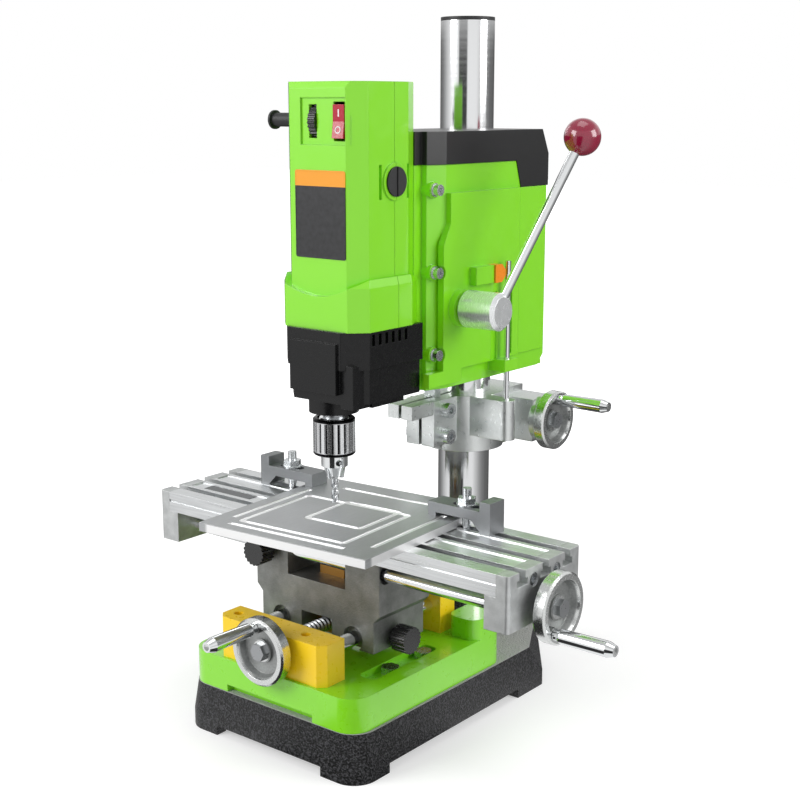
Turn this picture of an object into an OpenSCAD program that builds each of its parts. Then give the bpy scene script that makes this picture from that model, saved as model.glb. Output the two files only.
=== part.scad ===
// Benchtop drill press with a cross table. X runs to the operator's right, Y to the back and Z up.
// The origin is where the column's axis meets the bench.

/* [Column and base] */
// Diameter of the column
column_d = 46; // [42:1:52]
// Height of the column's top above the bench
column_top = 576; // [560:1:640]
// Wall of the column tube
column_wall = 6; // [5.5:0.5:8]
// Width of the base at the bench
base_w = 189; // [175:1:195]
// How far each side of the base leans in towards its top
base_lean = 3; // [2:1:8]
// From the column's axis to the front of the base
base_front = 260; // [255:1:285]
// From the column's axis to the back of the base
base_back = 42; // [40:1:60]
// Height of the base casting
base_h = 40; // [34:1:52]
// Wall of the base casting
base_wall = 10; // [7:1:14]
// Height of the feet under the skirt
foot_h = 8; // [4:1:12]
// Length of each foot
foot_l = 38; // [28:1:46]
// Height of the socket that holds the column
socket_h = 50; // [36:1:60]

/* [Bed and guide blocks] */
// Height of the bed casting
bed_h = 28; // [24:1:36]
// Length of the bed casting
bed_l = 197; // [190:1:204]
// Sideways place of the cross slide from the column's axis
cross_x = 2; // [-4:1:8]
// Width of the guide blocks
block_w = 113; // [106:1:120]
// Depth of the guide blocks
block_d = 26; // [20:1:30]
// Height of the guide blocks
block_h = 34; // [32:1:44]
// Distance of the rear block from the bed's rear end
rear_setback = 20; // [18:1:24]
// Height of the cross slide's rods and screw above the bed
cross_axis_h = 22; // [20:1:24]
// Diameter of the front to back guide rods
cross_rod_d = 12; // [8:1:14]
// Distance between the front to back guide rods
cross_rod_pitch = 77; // [70:1:84]

/* [Saddle] */
// Width of the saddle's upper body
saddle_w = 132; // [124:1:140]
// Depth of the saddle
saddle_d = 63; // [60:1:68]
// Clear height under the saddle
saddle_lift = 14; // [10:1:14]
// Step at each side from the upper to the lower body
saddle_step = 6; // [3:1:8]
// Gap between the saddle and the table
saddle_gap = 7; // [4:1:9]

/* [Table] */
// Length of the table extrusion
table_l = 340; // [320:1:360]
// Width of the table
table_w = 95; // [90:1:100]
// Thickness of the table
table_t = 17; // [15:1:20]
// Height of the table's top above the bench
table_top_z = 180; // [179:1:182]
// Sideways place of the table from the cross slide's middle
table_shift = 16; // [0:1:20]
// Width of a slot's mouth
slot_w = 8; // [6:0.5:9]
// Distance between the slots
slot_pitch = 30; // [28:0.5:31]
// Thickness of the end brackets beyond the table
bracket_plate_t = 11; // [8:1:14]
// How far the end brackets reach in under the table
bracket_foot = 10; // [6:1:14]
// How far the end brackets hang below the table
bracket_drop = 26; // [24:1:30]
// Diameter of the table's guide rods
table_rod_d = 11; // [8:1:12]
// Distance between the table's guide rods
table_rod_pitch = 46; // [44:1:48]
// Depth of the table's rods and screw below the table
table_axis_drop = 16; // [14:1:16]

/* [Screws and handwheels] */
// Diameter of both lead screws
screw_d = 12; // [10:1:14]
// Pitch of both lead screws
screw_pitch = 4; // [3:0.5:5]
// Diameter of the two table handwheels
wheel_d = 54.5; // [52:0.5:62]
// Diameter of the lift handwheel
lift_wheel_d = 52; // [46:1:54]
// Width of a handwheel's rim
wheel_rim_w = 11; // [8:1:14]
// Length of a crank grip
grip_l = 50; // [40:1:60]
// Diameter of a crank grip
grip_d = 11; // [9:1:12]

/* [Workpiece and clamps] */
// Width of the workpiece plate
plate_w = 160; // [150:1:164]
// Depth of the workpiece plate
plate_l = 162; // [150:1:166]
// Thickness of the workpiece plate
plate_t = 7; // [5:0.5:9]
// Turn of the workpiece plate on the table
plate_turn = 4; // [0:1:6]
// Width of a clamp strap
strap_w = 19; // [16:1:22]
// Thickness of a clamp strap
strap_t = 8; // [6:1:9]
// Length of a clamp strap
strap_l = 60; // [56:1:66]

/* [Column bracket] */
// Height of the bracket's underside above the bench
bracket_z = 205; // [204:1:215]
// Height of the bracket
bracket_h = 50; // [46:1:52]
// Wall of the bracket round the column
bracket_wall = 12; // [9:1:14]
// From the column's axis back to the lift crank
lift_axis_y = 36; // [36:1:37]

/* [Head] */
// From the column's axis to the spindle's axis
spindle_reach = 176; // [175:0.5:178]
// From the spindle's axis back to the motor's axis
gear_centres = 27; // [26:0.5:28]
// Width of the head housing
head_w = 90; // [88:1:96]
// From the column's axis to the head's front
head_front = 117; // [115:1:118]
// From the column's axis to the head's back
head_back = 58; // [52:1:66]
// Height of the head's underside above the bench
head_z = 275; // [269:1:280]
// Height of the head housing with its cover
head_h = 208; // [200:1:220]
// Wall of the head's castings
head_wall = 4; // [3:0.5:5]
// Travel of the feed
feed_travel = 60; // [40:1:60]
// Width of the motor housing
motor_w = 81; // [79:1:84]
// Depth of the motor housing in front of the motor's axis
motor_front = 43; // [42:1:46]
// Height of the motor housing's top above the bench
motor_top = 521; // [515:1:530]
// Height of the joint between the motor and the gearbox
motor_z = 333; // [331:1:336]

/* [Feed lever] */
// Pitch radius of the feed pinion
feed_pinion_r = 22.5; // [21:0.5:23]
// From the column's axis to the feed shaft
feed_reach = 76; // [75:1:77]
// Height of the feed shaft above the bench
feed_z = 341; // [338:1:344]
// Diameter of the hub
hub_d = 31; // [28:1:36]
// Diameter of the feed lever
lever_d = 8; // [6:1:9]
// Length of the feed lever from the hub's axis to the ball's middle
lever_l = 156; // [140:1:158]
// Diameter of the ball
ball_d = 30; // [24:1:32]

/* [Spindle and chuck] */
// Height of the chuck's top above the bench
chuck_top = 260; // [259:1:261]
// Diameter of the chuck's sleeve
sleeve_d = 34; // [32:1:38]
// Height of the chuck's sleeve
sleeve_h = 30; // [26:1:32]
// Diameter of the chuck's body
chuck_d = 21.5; // [20.5:0.5:23]
// Diameter of the drill bit
bit_d = 6; // [4:0.5:6.5]

/* [Hidden] */
$fn = 48;
// Sides on a round child of a hull
// Overrun of every cut
over = 1;
// Clearance of a running fit, on the radius
fit = 0.05;
// Clearance of a drilled hole round its screw, on the radius
hole_gap = 0.2;
// Gap between pieces that pass each other
run_gap = 0.4;

// Colours as the photograph shows them
green = "#8fd61f";
yellow = "#f3cf2e";
black = "#1d1d1f";
steel = "#c9ccd0";
cast = "#a9abad";
alloy = "#bfc1c2";
chrome = "#e3e6e8";
bronze = "#b5884a";
orange = "#ee8a1c";
crimson = "#a3123a";
red = "#d4232b";
copper = "#b8653a";

// Places that follow from the driving sizes
column_r = column_d / 2;
base_hw = base_w / 2;
bed_top = base_h + bed_h;
block_setback = 3;
block_shift = 4;
table_setback = 5.5;
bed_y0 = -base_front + base_lean;
bed_y1 = bed_y0 + bed_l;
front_block_y0 = bed_y0 + block_setback;
front_block_y1 = front_block_y0 + block_d;
rear_block_y1 = bed_y1 - rear_setback;
rear_block_y0 = rear_block_y1 - block_d;
block_x = cross_x - block_shift;
cross_z = bed_top + cross_axis_h;
table_y = -spindle_reach + table_setback;
table_x = cross_x + table_shift;
table_bottom = table_top_z - table_t;
table_x0 = table_x - table_l / 2;
table_x1 = table_x + table_l / 2;
table_y0 = table_y - table_w / 2;
table_y1 = table_y + table_w / 2;
table_axis_z = table_bottom - table_axis_drop;
end_x0 = table_x0 - bracket_plate_t;
end_x1 = table_x1 + bracket_plate_t;
saddle_y0 = table_y - saddle_d / 2;
saddle_y1 = table_y + saddle_d / 2;
saddle_z0 = bed_top + saddle_lift;
saddle_top = table_bottom - saddle_gap;
plate_top = table_top_z + plate_t;
spindle_y = -spindle_reach;
motor_y = spindle_y + gear_centres;
head_top = head_z + head_h;

// Helpers: rods and boxes between two coordinates, and outlines pushed along an axis
module rod_x(d, x0, x1, y, z) { translate([x0, y, z]) rotate([0, 90, 0]) cylinder(d = d, h = x1 - x0); }
module rod_y(d, y0, y1, x, z) { translate([x, y1, z]) rotate([90, 0, 0]) cylinder(d = d, h = y1 - y0); }
module rod_z(d, z0, z1, x, y) { translate([x, y, z0]) cylinder(d = d, h = z1 - z0); }
module box(x0, x1, y0, y1, z0, z1) { translate([x0, y0, z0]) cube([x1 - x0, y1 - y0, z1 - z0]); }
module along_x(x0, x1) { translate([x0, 0, 0]) rotate([90, 0, 90]) linear_extrude(x1 - x0) children(); }
module along_y(y0, y1) { translate([0, y1, 0]) rotate([90, 0, 0]) linear_extrude(y1 - y0) children(); }
module along_z(z0, z1) { translate([0, 0, z0]) linear_extrude(z1 - z0) children(); }
module rect(x0, x1, y0, y1) { translate([x0, y0]) square([x1 - x0, y1 - y0]); }
module round_rect(w, d, r) {
  square([w - 2 * r, d], center = true);
  square([w, d - 2 * r], center = true);
  for (x = [-1, 1], y = [-1, 1]) translate([x * (w / 2 - r), y * (d / 2 - r)]) circle(r);
}
// A gear's outline, its teeth drawn only up to the pitch circle, and the matching rack's edge
function gear_points(teeth, tip, root) = [for (i = [0:teeth - 1], s = gear_shares)
  (s[1] > 0 ? tip : root) * [cos(360 * (i + s[0]) / teeth), sin(360 * (i + s[0]) / teeth)]];
gear_shares = [[0, 0], [0.18, 1], [0.5, 1], [0.68, 0]];
function rack_points(z0, count, pitch, tip, root) = [for (i = [0:count - 1], s = gear_shares)
  [s[1] > 0 ? tip : root, z0 + pitch * (i + s[0])]];
// A screw thread drawn as rings, for turning about its axis
function thread_points(d, l, pitch, depth) = concat([[0, 0]],
  [for (i = [0:floor(l / pitch) - 1], s = thread_shares) [d / 2 - depth * s[1], pitch * (i + s[0])]],
  [[d / 2 - depth, l], [0, l]]);
thread_shares = [[0, 1], [0.25, 0], [0.5, 0], [0.75, 1]];
module socket_screw(d, l, head_d, head_h) {
  key = d * 0.8;
  cylinder(d = d, h = l);
  translate([0, 0, l]) difference() {
    cylinder(d = head_d, h = head_h);
    translate([0, 0, head_h / 2]) cylinder(d = key, h = head_h, $fn = 6);
  }
}

// Base casting: a tapered cast iron box, open below, on four feet, with the column's socket
socket_wall = 14;
seat_gap = 6;
column_seat = foot_h + seat_gap;
base_corner = 20;
base_side_y = -8;
base_back_hw = 58;
base_band = 6;
module base_outline(inset, lean) {
  back_slope = 6;
  hw = base_hw - inset - lean;
  y0 = -base_front + inset + lean;
  y1 = base_back - inset - lean;
  back_hw = base_back_hw - inset - lean;
  side_y = base_side_y - back_slope * lean;
  r = base_corner - inset;
  polygon([[-hw + r, y0], [hw - r, y0], [hw, y0 + r], [hw, side_y], [back_hw, y1], [-back_hw, y1],
    [-hw, side_y], [-hw, y0 + r]]);
  for (x = [-hw + r, hw - r]) translate([x, y0 + r]) circle(r);
}
module base_solid(inset, z0, z1) {
  hull() {
    along_z(z0, z0 + base_band) base_outline(inset, 0);
    along_z(z1 - base_band / 2, z1) base_outline(inset, base_lean);
  }
}
bed_bolt_d = 8;
bed_margin = 2;
bed_hw = base_hw - base_lean - bed_margin;
bed_bolt_inset = 24.5;
bed_bolt_x = bed_hw - bed_bolt_inset;
bed_bolt_shares = [0.365, 0.58];
bed_bolt_y = [for (s = bed_bolt_shares) bed_y0 + bed_l * s];
module base_casting() {
  foot_y1 = base_side_y;
  color(black) difference() {
    union() {
      difference() {
        base_solid(0, foot_h, base_h);
        base_solid(base_wall, -base_band, base_h - base_wall);
      }
      intersection() {
        difference() {
          along_z(0, foot_h + over) base_outline(0, 0);
          along_z(-over, foot_h + 2 * over) base_outline(base_wall, 0);
        }
        for (s = [-1, 1], y = [-base_front, foot_y1 - foot_l])
          box(s * base_hw - foot_l, s * base_hw + foot_l, y, y + foot_l, -over, foot_h + 2 * over);
      }
      rod_z(column_d + 2 * socket_wall, 0, base_h + socket_h, 0, 0);
      for (x = [-bed_bolt_x, bed_bolt_x], y = bed_bolt_y)
        rod_z(2.4 * bed_bolt_d, foot_h, base_h - base_wall + over, x, y);
    }
    rod_z(column_d + 2 * hole_gap, column_seat, base_h + socket_h + over, 0, 0);
    for (x = [-bed_bolt_x, bed_bolt_x], y = bed_bolt_y)
      rod_z(bed_bolt_d, foot_h - over, base_h + over, x, y);
    rod_y(set_screw_d, -column_r - socket_wall - over, 0, 0, base_h + socket_h * 0.7);
  }
}

// Column: a chromed tube, keyed at the back for the lift rack
rack_w = 12;
rack_in = 5;
rack_proud = 5;
rack_end_gap = 6;
rack_top_gap = 20;
cap_t = 3;
lift_pinion_teeth = 10;
lift_pinion_r = lift_axis_y - column_r - rack_proud;
lift_rack_y = lift_axis_y - lift_pinion_r;
lift_rack_z0 = base_h + socket_h + rack_end_gap;
lift_pitch = 2 * PI * lift_pinion_r / lift_pinion_teeth;
lift_rack_count = floor((column_top - cap_t - lift_rack_z0 - rack_top_gap) / lift_pitch);
lift_rack_z1 = lift_rack_z0 + lift_rack_count * lift_pitch;
set_screw_d = 8;
module column() {
  color(chrome) difference() {
    rod_z(column_d, column_seat, column_top - cap_t, 0, 0);
    rod_z(column_d - 2 * column_wall, column_seat - over, column_top, 0, 0);
    box(-rack_w / 2, rack_w / 2, column_r - rack_in, column_d, lift_rack_z0, lift_rack_z1);
  }
}
module column_cap() {
  plug_h = 10;
  color(black) {
    rod_z(column_d, column_top - cap_t, column_top, 0, 0);
    rod_z(column_d - 2 * column_wall, column_top - cap_t - plug_h, column_top, 0, 0);
  }
}
module lift_rack() {
  color(steel) along_x(-rack_w / 2, rack_w / 2) polygon(concat(
    [[column_r - rack_in, lift_rack_z1], [column_r - rack_in, lift_rack_z0]],
    rack_points(lift_rack_z0, lift_rack_count, lift_pitch, lift_rack_y - fit * 3, lift_rack_y - lift_tooth),
    [[lift_rack_y - lift_tooth, lift_rack_z1]]));
}

// Bed: the green casting bolted to the base, with raised lugs beside the rear block
lug_margin = 1;
pocket_share = 0.42;
bed_corner = 18;
bed_lug_h = 18;
bed_lug_l = 44;
pocket_w = 16;
pocket_floor = 22;
module bed_casting() {
  notch_w = 92;
  notch_h = 6;
  pocket_l = bed_l * pocket_share;
  lug_w = bed_hw - block_w / 2 - abs(block_x) - lug_margin;
  color(green) difference() {
    union() {
      translate([0, (bed_y0 + bed_y1) / 2, base_h]) linear_extrude(bed_h)
        round_rect(2 * bed_hw, bed_l, bed_corner);
      for (s = [-1, 1])
        translate([s * (bed_hw - lug_w / 2), bed_y1 - bed_lug_l / 2, bed_top - over])
          linear_extrude(bed_lug_h + over) round_rect(lug_w, bed_lug_l, lug_w / 3);
    }
    box(-notch_w / 2, notch_w / 2, bed_y0 - over, bed_y0 + notch_h, base_h - over, base_h + notch_h);
    for (s = [-1, 1]) {
      translate([s * bed_bolt_x, bed_y0 + bed_l * pocket_share, base_h + pocket_floor]) linear_extrude(bed_h)
        round_rect(pocket_w, pocket_l, pocket_w / 3);
      for (y = bed_bolt_y) rod_z(bed_bolt_d + 2 * hole_gap, base_h - over, bed_top, s * bed_bolt_x, y);
    }
    for (x = block_screw_x, y = block_screw_y)
      rod_z(block_screw_d, bed_top - block_screw_grip, bed_top + over, x, y);
  }
}

// Guide blocks: two yellow blocks screwed down to the bed, which carry the rods and the screw
block_screw_d = 5;
block_screw_head = 7.5;
block_screw_grip = 14;
block_screw_shares = [-0.4, 0.25];
block_screw_x = [for (t = block_screw_shares) block_x + t * block_w];
block_screw_y = [(front_block_y0 + front_block_y1) / 2, (rear_block_y0 + rear_block_y1) / 2];
block_c = 6;
end_step = 3;
screw_end_d = screw_d - end_step;
module guide_block(y0, y1, front) {
  color(yellow) difference() {
    along_z(bed_top, bed_top + block_h) polygon([
      [block_x - block_w / 2 + (front ? block_c : 0), y0],
        [block_x + block_w / 2 - (front ? block_c : 0), y0],
      [block_x + block_w / 2, y0 + (front ? block_c : 0)],
        [block_x + block_w / 2, y1 - (front ? 0 : block_c)],
      [block_x + block_w / 2 - (front ? 0 : block_c), y1],
        [block_x - block_w / 2 + (front ? 0 : block_c), y1],
      [block_x - block_w / 2, y1 - (front ? 0 : block_c)],
        [block_x - block_w / 2, y0 + (front ? block_c : 0)]]);
    for (s = [-1, 1]) rod_y(cross_rod_d, front ? y0 + block_c : y0 - over, front ? y1 + over : y1 - block_c,
      cross_x + s * cross_rod_pitch / 2, cross_z);
    rod_y(screw_end_d + 2 * fit, y0 - over, y1 + over, cross_x, cross_z);
    for (x = block_screw_x) {
      rod_z(block_screw_d + 2 * hole_gap, bed_top - over, bed_top + block_h, x, (y0 + y1) / 2);
      rod_z(block_screw_head + 2 * hole_gap, bed_top + block_h / 2, bed_top + block_h + over, x,
        (y0 + y1) / 2);
    }
  }
}
module front_block() { guide_block(front_block_y0, front_block_y1, true); }
module rear_block() { guide_block(rear_block_y0, rear_block_y1, false); }
module cross_guide_rods() {
  color(chrome) for (s = [-1, 1])
    rod_y(cross_rod_d, front_block_y0 + block_c, rear_block_y1 - block_c, cross_x + s * cross_rod_pitch / 2,
      cross_z);
}
module stand_screws() {
  head_h = block_screw_d;
  color(steel) {
    for (x = block_screw_x, y = block_screw_y) translate([x, y, bed_top - block_screw_grip])
      socket_screw(block_screw_d, block_screw_grip + block_h / 2, block_screw_head, head_h);
    for (x = [-bed_bolt_x, bed_bolt_x], y = bed_bolt_y) {
      rod_z(bed_bolt_d, foot_h, base_h + pocket_floor, x, y);
      translate([x, y, base_h + pocket_floor]) cylinder(d = 1.9 * bed_bolt_d, h = bed_bolt_d * 0.7, $fn = 6);
    }
    rod_y(set_screw_d, -column_r - socket_wall, -column_r, 0, base_h + socket_h * 0.7);
  }
}

// Lead screws, handwheels and crank grips, each drawn standing up and then laid along its axis
wheel_gap = 6;
hub_len = 6;
nut_h = 5;
wheel_hub_d = 20;
wheel_bore = 8;
wheel_nut_d = 14.4;
rim_t = 5.5;
pin_d = 5;
thread_depth = 1.2;
grip_inset = 7;
rim_turn = 180;
rim_c = 1.5;
boss_margin = 1;
web_t = 4;
dish_run = 3;
module handwheel(d, grip_at) {
  rim_r = d / 2;
  boss_d = grip_d - boss_margin;
  rotate(grip_at - rim_turn) rotate_extrude() polygon([
    [wheel_bore / 2, 0], [rim_r - rim_c, 0], [rim_r, rim_c], [rim_r, wheel_rim_w - rim_c],
    [rim_r - rim_c, wheel_rim_w], [rim_r - rim_t, wheel_rim_w], [rim_r - rim_t - dish_run, web_t],
    [wheel_hub_d / 2, web_t], [wheel_hub_d / 2, hub_len], [wheel_bore / 2, hub_len]]);
  rotate(grip_at) translate([rim_r - grip_inset, 0, rim_c]) {
    cylinder(d = boss_d, h = wheel_rim_w - rim_c);
    cylinder(d = pin_d, h = wheel_rim_w + grip_l + run_gap - rim_c);
  }
}
module crank_grip(d, grip_at) {
  neck_share = 0.75;
  belly = 0.5;
  waist = 6;
  rotate(grip_at) translate([d / 2 - grip_inset, 0, wheel_rim_w + run_gap]) rotate_extrude() polygon([
    [pin_d / 2 + fit, 0], [grip_d * neck_share / 2, 0], [grip_d * neck_share / 2, waist / 2],
      [grip_d / 2, waist],
    [grip_d / 2 + belly, grip_l - waist], [grip_d * neck_share / 2, grip_l], [pin_d / 2 + fit, grip_l]]);
}
module screw_shaft(thread_from, thread_l, end_l) {
  color(steel) {
    translate([0, 0, thread_from]) rotate_extrude()
      polygon(thread_points(screw_d, thread_l, screw_pitch, thread_depth));
    cylinder(d = screw_end_d, h = thread_from + over);
    translate([0, 0, thread_from + thread_l - over])
      cylinder(d = screw_end_d, h = end_l - thread_from - thread_l + over);
    translate([0, 0, end_l - over]) cylinder(d = wheel_bore, h = hub_len + nut_h + over);
    translate([0, 0, end_l + hub_len]) cylinder(d = wheel_nut_d, h = nut_h, $fn = 6);
  }
}
cross_wheel_y = front_block_y0 - wheel_gap;
module cross_at() { translate([cross_x, cross_wheel_y, cross_z]) rotate([90, 0, 0]) children(); }
module cross_screw() {
  from_back = rear_block_y1 - block_c - cross_wheel_y;
  block_span = rear_block_y0 - front_block_y1;
  cross_at() translate([0, 0, -from_back])
    screw_shaft(rear_block_y1 - block_c - rear_block_y0 + run_gap, block_span - 2 * run_gap, from_back);
}
cross_grip_at = 95;
module cross_handwheel() { color(alloy) cross_at() handwheel(wheel_d, cross_grip_at); }
module cross_grip() { color(chrome) cross_at() crank_grip(wheel_d, cross_grip_at); }

// Saddle: a cast block that slides on the bed's rods and carries the table's rods
recess_d = 20;
recess_h = 5;
window_w = 62;
window_drop = 18;
window_z = table_axis_z - window_drop;
screw_window_w = 33;
screw_window_h = 22;
knob_screw_d = 6;
step_rise = 24;
lock_setback = 6;
lock_side = 52;
rod_seal = 5;
screw_room = 3;
saddle_lock_y = table_y - lock_setback;
table_lock_x = cross_x - lock_side;
module saddle_casting() {
  hw = saddle_w / 2;
  low_hw = hw - saddle_step;
  step_z = cross_z + step_rise;
  color(cast) difference() {
    along_y(saddle_y0, saddle_y1) translate([cross_x, 0]) polygon([
      [-low_hw, saddle_z0], [low_hw, saddle_z0], [low_hw, step_z - saddle_step], [hw, step_z],
      [hw, saddle_top], [-hw, saddle_top], [-hw, step_z], [-low_hw, step_z - saddle_step]]);
    for (s = [-1, 1]) {
      rod_y(cross_rod_d + 2 * fit, saddle_y0 - over, saddle_y1 + over, cross_x + s * cross_rod_pitch / 2,
        cross_z);
      rod_y(recess_d, saddle_y0 - over, saddle_y0 + recess_h, cross_x + s * cross_rod_pitch / 2, cross_z);
      rod_x(table_rod_d + 2 * fit, cross_x - hw - over, cross_x + hw + over,
        table_y + s * table_rod_pitch / 2, table_axis_z);
      for (x = [cross_x - hw - over, cross_x + hw - recess_h])
        rod_x(table_rod_d + rod_seal, x, x + recess_h + over, table_y + s * table_rod_pitch / 2,
          table_axis_z);
    }
    box(cross_x - screw_window_w / 2, cross_x + screw_window_w / 2, saddle_y0 - over, saddle_y1 + over,
      cross_z - screw_window_h / 2, cross_z + screw_window_h / 2);
    box(cross_x - window_w / 2, cross_x + window_w / 2, saddle_y0 - over,
      table_y + table_rod_pitch / 2 + table_rod_d,
      window_z, saddle_top + over);
    rod_x(screw_d + screw_room, cross_x - hw - over, cross_x + hw + over, table_y, table_axis_z);
    rod_x(knob_screw_d + 2 * fit, cross_x + cross_rod_pitch / 2, cross_x + hw, saddle_lock_y, cross_z);
    rod_y(knob_screw_d + 2 * fit, saddle_y0 - over, table_y - table_rod_pitch / 2, table_lock_x,
      table_axis_z);
  }
}
module lead_nuts() {
  nut_l = 26;
  nut_w = 24;
  color(bronze) {
    difference() {
      box(cross_x - screw_window_w / 2, cross_x + screw_window_w / 2, table_y - nut_l / 2,
        table_y + nut_l / 2,
        cross_z - screw_window_h / 2, cross_z + screw_window_h / 2);
      rod_y(screw_d + 2 * fit, table_y - nut_l, table_y + nut_l, cross_x, cross_z);
    }
    difference() {
      box(cross_x - nut_l / 2, cross_x + nut_l / 2, table_y - nut_w / 2, table_y + nut_w / 2, window_z,
        saddle_top - over);
      rod_x(screw_d + 2 * fit, cross_x - nut_l, cross_x + nut_l, table_y, table_axis_z);
    }
  }
}
module lock_knob(d, h, stem, tip) {
  flutes = 18;
  color(black) {
    linear_extrude(h) difference() {
      circle(d = d);
      for (i = [0:flutes - 1]) rotate(360 * i / flutes) translate([d / 2, 0])
        circle(d = d / flutes * 1.6, $fn = 16);
    }
    translate([0, 0, -stem]) cylinder(d = d * 0.6, h = stem);
    translate([0, 0, -tip]) cylinder(d = knob_screw_d, h = tip);
  }
}
knob_d = 22;
knob_h = 14;
knob_stem = 4;
module saddle_lock_knob() {
  x = cross_x + saddle_w / 2 - saddle_step + knob_stem + run_gap;
  translate([x, saddle_lock_y, cross_z]) rotate([0, 90, 0])
    lock_knob(knob_d, knob_h, knob_stem, x - cross_x - cross_rod_pitch / 2 - cross_rod_d / 2 - run_gap);
}
module table_lock_knob() {
  y = saddle_y0 - knob_stem - run_gap;
  translate([table_lock_x, y, table_axis_z]) rotate([90, 0, 0])
    lock_knob(knob_d, knob_h, knob_stem, table_y - table_rod_pitch / 2 - table_rod_d / 2 - run_gap - y);
}

// Table: an extruded T-slot plate between two end brackets, on two rods with the screw between them
slot_head_w = slot_w * 1.7;
slot_depth = table_t * 0.65;
slot_head_h = table_t * 0.3;
lip_w = 4.5;
land_depth = 0.8;
edge_groove = 2;
module slot_outlines() {
  for (i = [-1:1]) translate([table_y + i * slot_pitch, table_top_z]) {
    rect(-slot_w / 2, slot_w / 2, -slot_depth, over);
    rect(-slot_head_w / 2, slot_head_w / 2, -slot_depth, slot_head_h - slot_depth);
  }
}
module table_profile() {
  difference() {
    rect(table_y0, table_y1, table_bottom, table_top_z);
    slot_outlines();
    for (i = [-1, 0]) translate([table_y + (i + 0.5) * slot_pitch, table_top_z])
      rect(-slot_pitch / 2 + slot_w / 2 + lip_w, slot_pitch / 2 - slot_w / 2 - lip_w, -land_depth, over);
    for (y = [table_y0, table_y1]) rect(y - edge_groove / 2, y + edge_groove / 2,
      table_bottom + table_t / 2, table_bottom + table_t / 2 + edge_groove);
  }
}
end_screw_d = 6;
end_screw_head = 10;
end_screw_l = 16;
end_screw_y = [table_y - slot_pitch / 2, table_y + slot_pitch / 2];
end_screw_z = table_bottom + table_t * 0.4;
module table_top() {
  color(alloy) difference() {
    along_x(table_x0, table_x1) table_profile();
    for (y = end_screw_y, x = [table_x0 - over, table_x1 - end_screw_l + over])
      rod_x(end_screw_d, x, x + end_screw_l, y, end_screw_z);
  }
}
// One end bracket in its own frame: X runs out from the table's end
module end_bracket_shape() {
  corner = 3;
  z0 = table_bottom - bracket_drop;
  difference() {
    union() {
      box(0, bracket_plate_t - corner, table_y0, table_y1, z0, table_top_z);
      box(0, bracket_plate_t, table_y0 + corner, table_y1 - corner, z0, table_top_z);
      for (y = [table_y0 + corner, table_y1 - corner])
        rod_z(2 * corner, z0, table_top_z, bracket_plate_t - corner, y);
      box(-bracket_foot, over, table_y0, table_y1, z0, table_bottom);
    }
    along_x(-over, bracket_plate_t + over) slot_outlines();
    for (s = [-1, 1]) rod_x(table_rod_d, -bracket_foot - over, bracket_plate_t / 2,
      table_y + s * table_rod_pitch / 2, table_axis_z);
    rod_x(screw_end_d + 2 * fit, -bracket_foot - over, bracket_plate_t + over, table_y, table_axis_z);
    for (y = end_screw_y) {
      rod_x(end_screw_d + 2 * hole_gap, -over, bracket_plate_t + over, y, end_screw_z);
      rod_x(end_screw_head + 2 * hole_gap, bracket_plate_t - end_screw_d, bracket_plate_t + over, y,
        end_screw_z);
    }
  }
}
module right_end_bracket() { color(cast) translate([table_x1, 0, 0]) end_bracket_shape(); }
module left_end_bracket() { color(cast) translate([table_x0, 0, 0]) mirror([1, 0, 0]) end_bracket_shape(); }
module table_guide_rods() {
  color(chrome) for (s = [-1, 1])
    rod_x(table_rod_d, end_x0 + bracket_plate_t / 2, end_x1 - bracket_plate_t / 2,
      table_y + s * table_rod_pitch / 2, table_axis_z);
}
module bracket_screws() {
  reach = end_screw_l - over;
  color(steel) for (s = [0, 1], y = end_screw_y)
    translate([s > 0 ? table_x1 : table_x0, y, end_screw_z]) mirror([1 - s, 0, 0]) rotate([0, 90, 0])
      translate([0, 0, -reach]) socket_screw(end_screw_d, reach + bracket_plate_t - end_screw_d,
        end_screw_head, end_screw_d - over);
}
table_wheel_x = end_x1 + wheel_gap;
module table_screw_at() { translate([table_wheel_x, table_y, table_axis_z]) rotate([0, 90, 0]) children(); }
module table_screw() {
  back = table_wheel_x - end_x0;
  plain = bracket_plate_t + bracket_foot + run_gap;
  table_screw_at() translate([0, 0, -back])
    screw_shaft(plain, table_l - 2 * bracket_foot - 2 * run_gap, back);
}
table_grip_at = -40;
module table_handwheel() { color(alloy) table_screw_at() handwheel(wheel_d, table_grip_at); }
module table_grip() { color(chrome) table_screw_at() crank_grip(wheel_d, table_grip_at); }

// Workpiece: a grey plate with milled channels, clamped to the table by two straps
plate_side = 22;
plate_overhang_share = 0.16;
plate_x = cross_x + plate_side;
plate_y = table_y0 + plate_l * plate_overhang_share;
channel_w = 5;
channel_depth = 1;
module channel_loop(w, l) {
  difference() {
    round_rect(w, l, channel_w);
    round_rect(w - 2 * channel_w, l - 2 * channel_w, channel_w / 2);
  }
}
module workpiece_plate() {
  color("#8f9193") translate([plate_x, plate_y, table_top_z]) rotate(plate_turn) difference() {
    linear_extrude(plate_t) square([plate_w, plate_l], center = true);
    translate([0, 0, plate_t - channel_depth]) linear_extrude(plate_t) {
      translate([-plate_w * 0.04, -plate_l * 0.1]) channel_loop(plate_w * 0.66, plate_l * 0.56);
      translate([plate_w * 0.04, plate_l * 0.02]) channel_loop(plate_w * 0.36, plate_l * 0.36);
      for (i = [-1, 1]) translate([i * plate_w * 0.42 - channel_w / 2, -plate_l * 0.34])
        square([channel_w, plate_l * 0.6]);
      translate([-plate_w * 0.3, plate_l * 0.36]) square([plate_w * 0.6, channel_w]);
      translate([-plate_w * 0.38, -plate_l * 0.44]) square([plate_w * 0.7, channel_w]);
    }
  }
}
stud_d = 8;
stud_over = 14;
strap_rise = 3;
strap_z = plate_top + strap_rise;
stud_top = strap_z + strap_t + stud_over;
clamp_y = table_y + slot_pitch;
clamp_side = [98, 88];
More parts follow.
